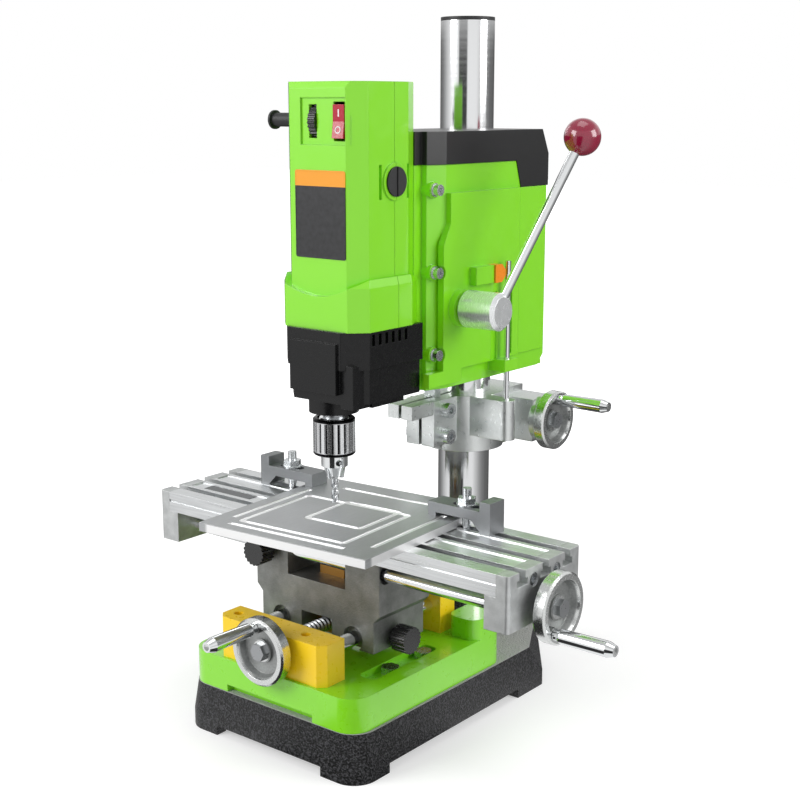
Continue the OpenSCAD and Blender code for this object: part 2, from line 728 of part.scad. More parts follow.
clamp_x = [table_x - clamp_side[0], table_x + clamp_side[1]];
clamp_at = [0, 180];
module clamp_strap_shape() {
  heel_share = 0.48;
  heel_l = 10;
  heel_over = 8;
  toe_l = 8;
  x0 = -strap_l * heel_share;
  x1 = x0 + strap_l;
  slot_r = stud_d / 2 + 2 * hole_gap;
  difference() {
    along_y(-strap_w / 2, strap_w / 2) polygon([
      [x0, table_top_z], [x0 + heel_l, table_top_z], [x0 + heel_l, strap_z - strap_t],
        [x0 + heel_l + strap_t, strap_z],
      [x1 - toe_l, strap_z], [x1 - toe_l, plate_top], [x1, plate_top], [x1, strap_z + strap_t],
      [x0 + heel_l, strap_z + strap_t], [x0 + heel_l, strap_z + strap_t + heel_over],
        [x0, strap_z + strap_t + heel_over]]);
    box(-stud_d, stud_d, -slot_r, slot_r, table_top_z, strap_z + strap_t + over);
    for (x = [-stud_d, stud_d]) rod_z(2 * slot_r, table_top_z, strap_z + strap_t + over, x, 0);
  }
}
module clamp_straps() {
  color(cast) for (i = [0, 1]) translate([clamp_x[i], clamp_y, 0]) rotate(clamp_at[i]) clamp_strap_shape();
}
module clamp_studs() {
  nut_t = 6.5;
  head = slot_head_w - 4 * hole_gap;
  nut_z = strap_z + strap_t;
  color(steel) for (x = clamp_x) translate([x, clamp_y, 0]) {
    box(-head / 2, head / 2, -head / 2, head / 2, table_top_z - slot_depth,
      table_top_z - slot_depth + slot_head_h - hole_gap);
    rod_z(stud_d - 4 * hole_gap, table_top_z - slot_depth, stud_top, 0, 0);
    translate([0, 0, nut_z]) cylinder(d = stud_d * 1.9, h = nut_t, $fn = 6);
    rod_z(stud_d * 2.1, nut_z, nut_z + nut_t * 0.25, 0, 0);
  }
}

// Column bracket: a split clamp round the column, with the lift crank and the feed rack on it
ear_hw = 15;
ear_y0 = -64;
ear_slot = 3;
bolt_d = 8;
bolt_y = -50;
ear_rise = 10;
bolt_inset = [8, 9];
bolt_z = [bracket_z + ear_rise + bolt_inset[0], bracket_z + bracket_h - bolt_inset[1]];
bracket_top = bracket_z + bracket_h;
lift_axis_z = bracket_z + bracket_h / 2;
lift_shaft_d = 10;
boss_x = 60;
flange_t = 6;
flange_d = 42;
rod_x_at = 57;
rod_y_at = -17;
depth_rod_d = 5;
rod_seat_share = 0.5;
feed_rack_y = -feed_reach + feed_pinion_r;
feed_rack_t = 10;
feed_rack_w = 12;
feed_teeth = 20;
feed_pitch = 2 * PI * feed_pinion_r / feed_teeth;
feed_rack_spare = 3;
feed_tooth = 2.8;
lift_tooth = 2.2;
feed_rack_z0 = feed_z - feed_rack_spare * feed_pitch;
feed_rack_count = ceil(feed_travel / feed_pitch) + 2 * feed_rack_spare;
module column_bracket() {
  ring_r = column_r + bracket_wall;
  rear_wall = 8;
  pinion_room = 1;
  side_room = 3;
  body_y = lift_axis_y + lift_pinion_r + rear_wall;
  body_share = 0.8;
  boss_share = 0.38;
  rod_boss_share = 0.3;
  arm_y = -92;
  arm_t = 12;
  arm_inset = 2;
  rod_boss_d = 16;
  rod_boss_z = bracket_z + bracket_h * rod_boss_share;
  color(cast) difference() {
    union() {
      rod_z(2 * ring_r, bracket_z, bracket_top, 0, 0);
      box(-ear_hw, ear_hw, ear_y0, 0, bracket_z + ear_rise, bracket_top);
      box(-ring_r * body_share, ring_r * body_share, 0, body_y, bracket_z, bracket_top);
      box(0, boss_x, lift_axis_y - flange_d * boss_share, body_y, bracket_z + flange_t,
        bracket_top - flange_t);
      rod_x(flange_d, boss_x - over, boss_x + flange_t, lift_axis_y, lift_axis_z);
      box(0, rod_x_at, rod_y_at - rod_boss_d / 2, rod_y_at + rod_boss_d / 2, rod_boss_z, bracket_top);
      rod_z(rod_boss_d, rod_boss_z, bracket_top, rod_x_at, rod_y_at);
      box(-ear_hw + arm_inset, ear_hw - arm_inset, arm_y, ear_y0 + over, bracket_top - arm_t, bracket_top);
    }
    rod_z(column_d + 2 * fit, bracket_z - over, bracket_top + over, 0, 0);
    box(-ear_slot / 2, ear_slot / 2, arm_y - over, 0, bracket_z - over, bracket_top + over);
    box(-rack_w / 2 - run_gap, rack_w / 2 + run_gap, 0, lift_rack_y + run_gap, bracket_z - over,
      bracket_top + over);
    rod_x(2 * (lift_pinion_r + pinion_room), -rack_w / 2 - side_room, rack_w / 2 + side_room, lift_axis_y,
      lift_axis_z);
    rod_x(lift_shaft_d + 2 * fit, 0, boss_x + flange_t + over, lift_axis_y, lift_axis_z);
    for (z = bolt_z) rod_x(bolt_d + 2 * hole_gap, -ear_hw - over, ear_hw + over, bolt_y, z);
    rod_z(depth_rod_d, bracket_top - bracket_h * rod_seat_share, bracket_top + over, rod_x_at, rod_y_at);
  }
}
module bracket_bolts() {
  head_d = 13;
  nut_t = 6.5;
  nut_d = 15;
  color(steel) for (z = bolt_z) translate([-ear_hw, bolt_y, z]) rotate([0, 90, 0]) {
    socket_screw(bolt_d, 2 * ear_hw, head_d, bolt_d);
    translate([0, 0, -nut_t]) cylinder(d = nut_d, h = nut_t, $fn = 6);
  }
}
module depth_rod() {
  rod_over = 34;
  color(chrome) rod_z(depth_rod_d, bracket_top - bracket_h * rod_seat_share, feed_z + rod_over, rod_x_at,
    rod_y_at);
}
module feed_rack() {
  root = feed_rack_y + feed_tooth;
  back = feed_rack_y + feed_rack_t;
  z1 = feed_rack_z0 + feed_rack_count * feed_pitch;
  color(steel) along_x(-feed_rack_w / 2, feed_rack_w / 2) polygon(concat(
    [[back, z1], [back, bracket_top], [root, bracket_top]],
    rack_points(feed_rack_z0, feed_rack_count, feed_pitch, feed_rack_y + 3 * fit, root), [[root, z1]]));
}
module lift_at() { translate([boss_x + flange_t + run_gap, lift_axis_y, lift_axis_z]) rotate([0, 90, 0])
  children(); }
module lift_shaft() {
  reach = boss_x + flange_t + run_gap;
  color(steel) lift_at() {
    translate([0, 0, -reach - rack_w / 2]) linear_extrude(rack_w)
      polygon(gear_points(lift_pinion_teeth, lift_pinion_r - 3 * fit, lift_pinion_r - lift_tooth));
    translate([0, 0, -reach]) cylinder(d = lift_shaft_d, h = reach - run_gap);
    translate([0, 0, -flange_t]) cylinder(d = wheel_bore, h = hub_len + nut_h + flange_t);
    translate([0, 0, hub_len]) cylinder(d = wheel_nut_d, h = nut_h, $fn = 6);
  }
}
lift_grip_at = 180;
module lift_handwheel() { color(alloy) lift_at() handwheel(lift_wheel_d, lift_grip_at); }
module lift_grip() { color(chrome) lift_at() crank_grip(lift_wheel_d, lift_grip_at); }

// Head housing: two green half shells that slide on the column, closed by a black cover
head_hw = head_w / 2;
head_y0 = -head_front;
head_y1 = head_back;
cover_front_h = 26;
cover_back_h = 48.5;
cover_step_y = 10;
cover_run = 7;
head_corner = 9;
panel_t = 5;
ring_h = 30;
boss_d = 31;
boss_t = 6;
snout_hw = 34;
snout_l = 10;
cheek_hw = 39;
cheek_l = 28;
spot_d = 13;
spot_x = 43.5;
feed_shaft_d = 12;
lug_rise = 6;
lug_h = 10;
lug_z = head_z + lug_rise;
tab_h = 15;
screw_inset = 15;
housing_screw_shares = [0.142, 0.464, 0.781];
housing_screw_z = [for (s = housing_screw_shares) head_z + head_h * s];
housing_screw_y = head_y0 + screw_inset;
housing_screw_d = 5;
housing_screw_head = 9;
pointer_rise = 17;
pointer_h = 15;
pointer_l = 14.5;
pointer_t = 8;
pointer_y1 = rod_y_at - depth_rod_d;
pointer_z = feed_z + pointer_rise;
module head_outline(inset) {
  polygon([[head_y0 + inset, head_z + inset], [head_y1 - head_corner, head_z + inset],
    [head_y1 - inset, head_z + head_corner], [head_y1 - inset, head_top - cover_back_h],
    [cover_step_y + cover_run, head_top - cover_back_h], [cover_step_y, head_top - cover_front_h],
    [head_y0 + inset, head_top - cover_front_h]]);
}
// The right half's plan: a narrow snout behind the motor, then a cheek that widens to the full width
module head_plan(inset) {
  polygon([[-over, head_y0 + inset], [snout_hw - inset, head_y0 + inset],
    [snout_hw - inset, head_y0 + snout_l + inset], [cheek_hw - inset, head_y0 + snout_l + inset],
    [head_hw - inset, head_y0 + cheek_l + inset], [head_hw - inset, head_y1 - inset],
    [-over, head_y1 - inset]]);
}
// The right half; the left half is its mirror image without what only the feed side carries
module head_half(right) {
  ring_r = column_r + head_wall;
  face_x = head_hw + panel_t;
  panel_inset = 19;
  panel_step = 9;
  step_shares = [0.57, 0.65];
  step_z = [for (s = step_shares) head_z + head_h * s];
  panel_y = [head_y0 + panel_inset, head_y0 + panel_inset + panel_step, cover_step_y, head_y1 - head_wall];
  panel_z = [head_z + tab_h, head_top - cover_back_h];
  tab_l = 44;
  slot_over = 12;
  slot_under = 48;
  slot_w = 4;
  slot_y = rod_y_at + 3 * depth_rod_d;
  groove_y = rod_y_at - 2 * depth_rod_d;
  groove_w = 9;
  groove_t = 1.5;
  block_l = 25.5;
  top_room = 54;
  difference() {
    union() {
      difference() {
        intersection() {
          along_x(0, head_hw) head_outline(0);
          along_z(head_z, head_top) head_plan(0);
        }
        intersection() {
          union() {
            along_x(-over, head_hw - head_wall) head_outline(head_wall);
            box(-over, head_hw - head_wall, head_y0, head_y1, head_z + head_h / 2, head_top);
          }
          along_z(head_z, head_top) head_plan(head_wall);
        }
      }
      intersection() {
        union() {
          rod_z(2 * ring_r, head_z, head_z + ring_h, 0, 0);
          rod_z(2 * ring_r, head_top - cover_back_h - ring_h, head_top - cover_back_h, 0, 0);
          box(0, head_hw, head_y0 + head_wall / 2, head_y1 - head_wall / 2, head_z, head_z + head_wall);
          box(0, head_hw, head_y0 + top_room, head_y1 - head_wall / 2,
            head_top - cover_back_h - head_wall, head_top - cover_back_h);
        }
        box(0, head_hw, head_y0, head_y1, head_z, head_top);
        along_z(head_z, head_top) head_plan(over);
      }
      along_x(head_hw - over, face_x) polygon([
        [panel_y[0], panel_z[0]], [panel_y[2], panel_z[0]], [panel_y[2], panel_z[1]],
        [panel_y[1], panel_z[1]], [panel_y[1], step_z[1]], [panel_y[0], step_z[0]]]);
      along_x(head_hw - over, head_hw + panel_t / 2)
        rect(panel_y[2] - over, panel_y[3], panel_z[0], panel_z[1]);
      box(head_hw - over, face_x, head_y0, head_y0 + tab_l, head_z + head_wall, panel_z[0] + over);
      rod_x(boss_d, head_hw - 3 * head_wall, face_x + (right ? boss_t : 0), -feed_reach, feed_z);
      for (z = housing_screw_z) rod_x(spot_d, 0, spot_x, housing_screw_y, z);
      if (right) {
        box(head_hw, rod_x_at + depth_rod_d, rod_y_at - 2 * depth_rod_d, rod_y_at + 2 * depth_rod_d, lug_z,
          lug_z + lug_h);
        box(head_hw, face_x + pointer_t - groove_t, pointer_y1 - pointer_l - block_l, pointer_y1 - pointer_l,
          pointer_z, pointer_z + pointer_h);
      }
    }
    rod_z(column_d + 2 * fit, head_z - over, head_top, 0, 0);
    box(-over, rack_w / 2 + run_gap, 0, lift_rack_y + 2 * run_gap, head_z - over, head_top);
    box(-over, feed_rack_w / 2 + 2 * run_gap, feed_rack_y - 3 * run_gap,
      feed_rack_y + feed_rack_t + 2 * run_gap,
      head_z - over, head_z + ring_h);
    rod_x(feed_shaft_d + 2 * fit, 0, face_x + boss_t + over, -feed_reach, feed_z);
    for (z = housing_screw_z) {
      rod_x(housing_screw_d + 2 * hole_gap, -over, head_hw + over, housing_screw_y, z);
      rod_x(spot_d, spot_x, face_x + over, housing_screw_y, z);
    }
    if (right) {
      box(head_hw - 2 * head_wall, face_x + over, slot_y - slot_w / 2, slot_y + slot_w / 2,
        feed_z - slot_under, feed_z + slot_over);
      box(face_x - groove_t, face_x + over, groove_y - groove_w / 2, groove_y + groove_w / 2,
        lug_z + lug_h, pointer_z - groove_w);
      rod_z(depth_rod_d + 4 * hole_gap, lug_z - over, lug_z + lug_h + over, rod_x_at, rod_y_at);
    }
  }
}
module head_shell_right() { color(green) head_half(true); }
module head_shell_left() { color(green) mirror([1, 0, 0]) head_half(false); }
module head_cover() {
  proud = 1;
  chamfer_share = 0.43;
  chamfer_z = head_top - cover_back_h * chamfer_share;
  inner = head_wall / 2;
  color(black) difference() {
    intersection() {
      along_x(-head_hw - proud, head_hw + proud) polygon([
        [head_y0, head_top - cover_front_h], [cover_step_y, head_top - cover_front_h],
        [cover_step_y + cover_run, head_top - cover_back_h], [head_y1 + proud, head_top - cover_back_h],
        [head_y1 + proud, chamfer_z], [head_y1 - head_corner, head_top], [head_y0, head_top]]);
      for (s = [0, 1]) mirror([s, 0, 0]) along_z(head_z, head_top) head_plan(-proud);
    }
    intersection() {
      along_x(-head_hw + head_wall, head_hw - head_wall) polygon([
        [head_y0 + head_wall, head_top - cover_front_h - over],
          [cover_step_y, head_top - cover_front_h - over],
        [cover_step_y + cover_run, head_top - cover_back_h - over],
          [head_y1 - head_wall, head_top - cover_back_h - over],
        [head_y1 - head_wall, chamfer_z - inner], [head_y1 - head_corner - inner, head_top - head_wall],
        [head_y0 + head_wall, head_top - head_wall]]);
      for (s = [0, 1]) mirror([s, 0, 0]) along_z(head_z, head_top) head_plan(head_wall);
    }
    rod_z(column_d + 2 * run_gap, head_z, head_top + over, 0, 0);
    box(-rack_w / 2 - run_gap, rack_w / 2 + run_gap, 0, lift_rack_y + 2 * run_gap, head_z, head_top + over);
  }
}
module housing_screws() {
  washer_d = 11;
  washer_t = 1;
  nut_t = 4;
  color(steel) for (z = housing_screw_z) translate([0, housing_screw_y, z]) rotate([0, 90, 0]) {
    translate([0, 0, -spot_x]) cylinder(d = housing_screw_d, h = 2 * spot_x + washer_t);
    translate([0, 0, spot_x]) cylinder(d = washer_d, h = washer_t);
    translate([0, 0, spot_x]) socket_screw(housing_screw_d, washer_t, housing_screw_head, housing_screw_d);
    translate([0, 0, -spot_x - nut_t]) cylinder(d = housing_screw_head, h = nut_t, $fn = 6);
  }
}
module depth_pointer() {
  y0 = pointer_y1 - pointer_l;
  tip = pointer_h / 3;
  color(orange) along_x(head_hw + panel_t, head_hw + panel_t + pointer_t) polygon([
    [y0, pointer_z], [pointer_y1 - tip, pointer_z], [pointer_y1, pointer_z + tip],
    [pointer_y1, pointer_z + pointer_h - tip], [pointer_y1 - tip, pointer_z + pointer_h],
      [y0, pointer_z + pointer_h]]);
}

// Motor housing: front and rear shells round the motor, standing on the gearbox
motor_hw = motor_w / 2;
motor_y0 = motor_y - motor_front;
motor_y1 = head_y0;
motor_wall = 3.5;
motor_c = 12;
rear_c = [7, 15];
seam = 0.3;
flare = 4;
flare_rise = 34;
flare_run = 16;
dip_r = 71;
dip_z = motor_z + 26;
motor_crown = 5;
bulkhead_drop = 26;
bulkhead_t = 9;
bulkhead_z = motor_top - bulkhead_drop;
motor_bearing_d = 22;
brush_drop = 75;
brush_z = motor_top - brush_drop;
brush_d = 23;
brush_lip = 2;
brush_ring = 3;
brush_proud = 1.5;
module motor_outline(grow) {
  hw = motor_hw + grow;
  y0 = motor_y0 - grow;
  polygon([[-hw + motor_c, y0], [hw - motor_c, y0], [hw, y0 + motor_c],
    [hw, motor_y1 - rear_c[1]], [hw - rear_c[0], motor_y1], [-hw + rear_c[0], motor_y1],
    [-hw, motor_y1 - rear_c[1]], [-hw, y0 + motor_c]]);
}
module motor_body() {
  flare_z = motor_z + flare_rise;
  vent_y = 17;
  vent_w = 3;
  vent_h = 26;
  difference() {
    union() {
      difference() {
        along_z(motor_z, motor_top) motor_outline(0);
        along_x(-motor_w, motor_w) polygon([[motor_y0 - over, motor_top - motor_crown - 2 * over],
          [motor_y0 + (motor_crown + over) / 2, motor_top + over], [motor_y0 - over, motor_top + over]]);
      }
      difference() {
        hull() {
          along_z(motor_z, flare_z) motor_outline(flare);
          along_z(flare_z, flare_z + flare_run) motor_outline(0);
        }
        rod_y(2 * dip_r, motor_y0 - motor_w, motor_y1 + over, 0, dip_z + dip_r);
      }
      for (s = [-1, 1]) rod_x(brush_d + 2 * brush_ring,
        s > 0 ? motor_hw - motor_wall : -motor_hw - brush_proud,
        s > 0 ? motor_hw + brush_proud : -motor_hw + motor_wall, motor_y, brush_z);
    }
    difference() {
      along_z(motor_z - over, motor_top - motor_wall) difference() {
        motor_outline(-motor_wall);
        rect(-motor_w, motor_w, motor_y1 - motor_wall, motor_y1);
      }
      along_z(bulkhead_z, bulkhead_z + bulkhead_t) difference() {
        motor_outline(0);
        translate([0, motor_y]) circle(d = motor_bearing_d);
      }
    }
    for (s = [-1, 1]) {
      rod_x(brush_d - 2 * brush_lip, s > 0 ? 0 : -motor_w, s > 0 ? motor_w : 0, motor_y, brush_z);
      for (v = [-1, 1]) box(s * motor_hw - vent_w, s * motor_hw + vent_w, motor_y + v * vent_y - vent_w / 2,
        motor_y + v * vent_y + vent_w / 2, brush_z - vent_h / 2, brush_z + vent_h / 2);
    }
  }
}
switch_drop = [47, 12];
switch_z = [for (d = switch_drop) motor_top - d];
switch_side = [-17, 28];
rocker_side = [15.5, 27.5];
dial_side = [-9, -2];
dial_d = 28;
dial_proud = 1.5;
rocker_depth = 7;
rocker_proud = 1.5;
axle_d = 3;
axle_reach = 3;
switch_mid_z = (switch_z[0] + switch_z[1]) / 2;
dial_y = motor_y0 + dial_d / 2 - dial_proud;
rocker_y = motor_y0 + rocker_depth;
guard_drop = 29;
guard_z = motor_top - guard_drop;
guard_y = motor_y0 + guard_drop;
guard_d = 11;
module motor_shell_front() {
  recess = 1.5;
  carrier_l = 28;
  carrier_wall = 4;
  frame = 3;
  slot_h = 25;
  color(green) difference() {
    union() {
      intersection() {
        motor_body();
        box(-motor_w, motor_w, motor_y0 - motor_w, motor_y, motor_z, motor_top);
      }
      box(dial_side[0] - carrier_wall, rocker_side[1] + carrier_wall, motor_y0 + motor_wall - over,
        motor_y0 + carrier_l, switch_z[0], bulkhead_z + over);
    }
    box(switch_side[0], switch_side[1], motor_y0 - flare, motor_y0 + recess, switch_z[0], switch_z[1]);
    box(rocker_side[0], rocker_side[1], motor_y0 - flare, motor_y0 + carrier_l - frame,
      switch_z[0] + frame, switch_z[1] - frame);
    box(dial_side[0] - run_gap, dial_side[1] + run_gap, motor_y0 - flare, dial_y,
      switch_mid_z - slot_h / 2, switch_mid_z + slot_h / 2);
    rod_x(dial_d + 4 * run_gap, dial_side[0] - run_gap, dial_side[1] + run_gap, dial_y, switch_mid_z);
    rod_x(axle_d + 2 * fit, dial_side[0] - axle_reach, dial_side[1] + axle_reach, dial_y, switch_mid_z);
    rod_x(axle_d + 2 * fit, rocker_side[0] - axle_reach, rocker_side[1] + axle_reach, rocker_y,
      switch_mid_z);
    rod_x(guard_d, -motor_w, -motor_hw + 2 * motor_wall, guard_y, guard_z);
  }
}
module motor_shell_rear() {
  color(green) intersection() {
    motor_body();
    box(-motor_w, motor_w, motor_y + seam, motor_y1, motor_z, motor_top);
  }
}
module brush_caps() {
  slot = 2;
  head_t = 1.5;
  stem_l = motor_wall + brush_proud;
  color(black) for (s = [-1, 1]) translate([s * (motor_hw - motor_wall), motor_y, brush_z])
    rotate([0, s * 90, 0])
    difference() {
      union() {
        cylinder(d = brush_d - 2 * brush_lip, h = stem_l + head_t);
        translate([0, 0, stem_l]) cylinder(d = brush_d, h = head_t);
      }
      translate([-brush_d / 2, -slot / 2, stem_l + head_t - slot / 2]) cube([brush_d, slot, slot]);
    }
}
module cord_guard() {
  l = 32;
  lip = 2;
  color(black) difference() {
    union() {
      rod_x(guard_d, -motor_hw - l, -motor_hw + 2 * motor_wall, guard_y, guard_z);
      rod_x(guard_d + 2 * lip, -motor_hw - l, -motor_hw - l + lip, guard_y, guard_z);
    }
    rod_x(guard_d / 2, -motor_hw - l - over, 0, guard_y, guard_z);
  }
}
module rocker_switch() {
  h = 25;
  back = 5;
  color(red) {
    along_x(rocker_side[0] + run_gap, rocker_side[1] - run_gap) translate([rocker_y, switch_mid_z]) polygon([
      [0, -h / 2], [-rocker_depth - rocker_proud, -h / 2], [-rocker_depth, 0], [-rocker_depth, h / 2],
        [0, h / 2], [back, 0]]);
    rod_x(axle_d, rocker_side[0] - axle_reach + run_gap, rocker_side[1] + axle_reach - run_gap, rocker_y,
      switch_mid_z);
  }
}
module speed_dial() {
  knurls = 28;
  knurl = 0.7;
  color(black) {
    translate([dial_side[0], dial_y, switch_mid_z]) rotate([90, 0, 90])
      linear_extrude(dial_side[1] - dial_side[0])
      polygon(gear_points(knurls, dial_d / 2, dial_d / 2 - knurl));
    rod_x(axle_d, dial_side[0] - axle_reach + run_gap, dial_side[1] + axle_reach - run_gap, dial_y,
      switch_mid_z);
  }
}

// Gearbox housing: the black casting under the motor, with the spindle's collar
gearbox_rise = 1;
gearbox_z = head_z + gearbox_rise;
collar_d = 40;
collar_drop = 10;
collar_z = head_z - collar_drop;
gearbox_wall = 4;
gearbox_top_t = 14;
gearbox_c = 16;
gearbox_side = 3;
gearbox_nose = 7;
low_inset = 3;
bearing_h = 9;
bearing_d = 30;
bearing_inset = 2;
spindle_d = 12;
spindle_room = 3;
gear_rise = [18, 30];
gear_z = [for (r = gear_rise) gearbox_z + r];
gear_ratio = 3;
gear_teeth = 11;
gear_tooth = 1.2;
rotor_gear_r = gear_centres / (gear_ratio + 1);
spindle_gear_r = gear_centres - rotor_gear_r;
module gearbox_outline(inset) {
  hw = motor_hw + gearbox_side - inset;
  y0 = motor_y0 - gearbox_nose + inset;
  y1 = head_y0 - (inset > low_inset ? inset : 0);
  polygon([[-hw + gearbox_c, y0], [hw - gearbox_c, y0], [hw, y0 + gearbox_c], [hw, y1], [-hw, y1],
    [-hw, y0 + gearbox_c]]);
}
module gearbox_housing() {
  vents = 6;
  vent_w = 3.5;
  vent_h = 9;
  vent_pitch = 8;
  vent_top = 2;
  panel_hw = 24;
  rib = 2;
  arm_hw = 24;
  pad = [8, 16];
  mid_z = (gearbox_z + motor_z) / 2;
  arm_z = collar_z + bearing_inset;
  top_z = motor_z - gearbox_top_t;
  color(black) difference() {
    union() {
      along_z(gearbox_z, mid_z) gearbox_outline(low_inset);
      along_z(mid_z - over, motor_z) gearbox_outline(0);
      box(-panel_hw, panel_hw, motor_y0 - gearbox_nose - rib, motor_y0, gearbox_z + pad[0],
        motor_z - vent_h);
      rod_z(collar_d, collar_z, gearbox_z + over, 0, spindle_y);
      box(-arm_hw, arm_hw, spindle_y + collar_d / 2 - over, head_y0, arm_z, gearbox_z + over);
      box(motor_hw - pad[1], motor_hw - low_inset, motor_y0 - flare, motor_y0 + pad[1],
        gearbox_z - low_inset, mid_z + low_inset);
    }
    along_z(gearbox_z + gearbox_wall, top_z) gearbox_outline(gearbox_wall + low_inset);
    rod_z(2 * (spindle_gear_r + run_gap), gear_z[0] - over, top_z, 0, spindle_y);
    rod_z(spindle_d + 2 * spindle_room, collar_z - over, motor_z - over, 0, spindle_y);
    rod_z(bearing_d, collar_z + bearing_inset, collar_z + bearing_inset + bearing_h, 0, spindle_y);
    rod_z(bearing_d, top_z - over, top_z + bearing_h, 0, spindle_y);
    rod_z(motor_bearing_d, motor_z - bearing_h, motor_z + over, 0, motor_y);
    rod_z(motor_bearing_d - 2 * spindle_room, top_z - over, motor_z + over, 0, motor_y);
    for (i = [0:vents - 1], y = motor_y0 + motor_c + i * vent_pitch)
      box(0, motor_w, y, y + vent_w, motor_z - vent_h - vent_top, motor_z - vent_top);
  }
}
stator_d = 52;
stator_bore = 33;
stator_rise = [48, 100];
stator_z = [for (r = stator_rise) motor_z + r];
module motor_stator() {
  notch_d = 9;
  lug_inset = 1;
  lug_w = 11;
  lug_h = 13;
  color(copper) {
    difference() {
      rod_z(stator_d, stator_z[0], stator_z[1], 0, motor_y);
      rod_z(stator_bore, stator_z[0] - over, stator_z[1] + over, 0, motor_y);
      for (s = [-1, 1]) rod_z(notch_d, stator_z[0] - over, stator_z[1] + over, 0,
        motor_y + s * stator_d / 2);
    }
    for (s = [-1, 1]) box(s > 0 ? stator_d / 2 - lug_inset : -motor_hw + motor_wall,
      s > 0 ? motor_hw - motor_wall : -stator_d / 2 + lug_inset,
      motor_y - lug_w / 2, motor_y + lug_w / 2, stator_z[0], stator_z[0] + lug_h);
  }
}
rotor_shaft_d = 10;
module motor_rotor() {
  armature_d = 30;
  armature_inset = 2;
  commutator_d = 21;
  commutator_h = 18;
  fan_d = 47;
  fan_rise = 18;
  fan_t = 6;
  color(copper) {
    rod_z(rotor_shaft_d, gear_z[1] - over, bulkhead_z + bulkhead_t, 0, motor_y);
    rod_z(armature_d, stator_z[0] + armature_inset, stator_z[1] - armature_inset, 0, motor_y);
    rod_z(commutator_d, brush_z - commutator_h / 2, brush_z + commutator_h / 2, 0, motor_y);
    rod_z(fan_d, motor_z + fan_rise, motor_z + fan_rise + fan_t, 0, motor_y);
    translate([0, motor_y, gear_z[0]]) linear_extrude(gear_z[1] - gear_z[0])
      polygon(gear_points(gear_teeth, rotor_gear_r - 2 * fit, rotor_gear_r - gear_tooth));
  }
}
module bearing_ring(outer, inner, h) {
  difference() {
    cylinder(d = outer, h = h);
    translate([0, 0, -over]) cylinder(d = inner, h = h + 2 * over);
  }
}
module spindle_bearings() {
  color(steel) {
    for (z = [collar_z + bearing_inset, motor_z - gearbox_top_t])
      translate([0, spindle_y, z]) bearing_ring(bearing_d, spindle_d + 2 * fit, bearing_h);
    for (z = [motor_z - bearing_h, bulkhead_z])
      translate([0, motor_y, z]) bearing_ring(motor_bearing_d, rotor_shaft_d + 2 * fit, bearing_h);
  }
}

// Feed: pinion shaft, hub, lever and ball
hub_l = 37;
hub_x0 = head_hw + panel_t + boss_t + run_gap;
hub_x1 = hub_x0 + hub_l;
shaft_inset = 6;
lever_inset = 7;
lever_x = hub_x1 - lever_inset;
lever_tilt = 13.7;
lever_back = 25;
module feed_pinion() {
  pinion_w = 14;
  color(steel) translate([0, -feed_reach, feed_z]) rotate([90, 0, 90]) {
    translate([0, 0, -head_hw - panel_t]) cylinder(d = feed_shaft_d,
      h = hub_x1 - shaft_inset + head_hw + panel_t);
    translate([0, 0, -pinion_w / 2]) linear_extrude(pinion_w)
      polygon(gear_points(feed_teeth, feed_pinion_r - 2 * fit, feed_pinion_r - feed_tooth));
  }
}
module lever_frame() {
  translate([lever_x, -feed_reach, feed_z]) rotate([-lever_back, 0, 0]) rotate([0, lever_tilt, 0])
    children();
}
module feed_hub() {
  dome = 3;
  color(chrome) difference() {
    translate([0, -feed_reach, feed_z]) rotate([0, 90, 0]) rotate_extrude() polygon([
      [0, hub_x0], [hub_d / 2 - dome, hub_x0], [hub_d / 2, hub_x0 + dome],
      [hub_d / 2, hub_x1 - dome], [hub_d / 2 - dome, hub_x1], [0, hub_x1]]);
    rod_x(feed_shaft_d, hub_x0 - over, hub_x1 - shaft_inset, -feed_reach, feed_z);
    lever_frame() cylinder(d = lever_d, h = hub_d);
  }
}
lever_foot = 8;
module feed_lever() {
  color(chrome) lever_frame() translate([0, 0, lever_foot]) cylinder(d = lever_d, h = lever_l - lever_foot);
}
module lever_ball() {
  color(crimson) lever_frame() translate([0, 0, lever_l]) difference() {
    sphere(d = ball_d);
    translate([0, 0, -ball_d]) cylinder(d = lever_d, h = ball_d);
  }
}

// Spindle, chuck and drill bit
mouth_h = 18;
point_gap = 0.5;
chuck_low = chuck_top - sleeve_h - mouth_h;
bit_tip = plate_top + point_gap;
core_wall = 3.4;
core_d = sleeve_d - 2 * core_wall;
nose_d = 9;
nose_l = 14;
jaw_d = 4.5;
jaw_tilt = 9;
jaw_out = 1.5;
jaw_l = 24;
jaw_travel = 12;
jaw_at = [30, 150, 270];
module spindle_at() { translate([0, spindle_y, 0]) children(); }
module spindle() {
  neck_d = 18;
  top_gap = 2;
  half_tooth = 180 / (gear_ratio * gear_teeth);
  color(steel) spindle_at() {
    rod_z(nose_d, chuck_top - nose_l, chuck_top + over, 0, 0);
    rod_z(spindle_d, chuck_top, motor_z - top_gap, 0, 0);
    rod_z(neck_d, chuck_top, collar_z - run_gap, 0, 0);
    translate([0, 0, gear_z[0]]) linear_extrude(gear_z[1] - gear_z[0]) rotate(90 + half_tooth)
      polygon(gear_points(gear_teeth * gear_ratio, spindle_gear_r - 2 * fit, spindle_gear_r - gear_tooth));
  }
}
module jaw_frame(a) {
  rotate(a) translate([(bit_d + jaw_d) / 2, 0, chuck_low - jaw_out]) rotate([0, jaw_tilt, 0]) children();
}
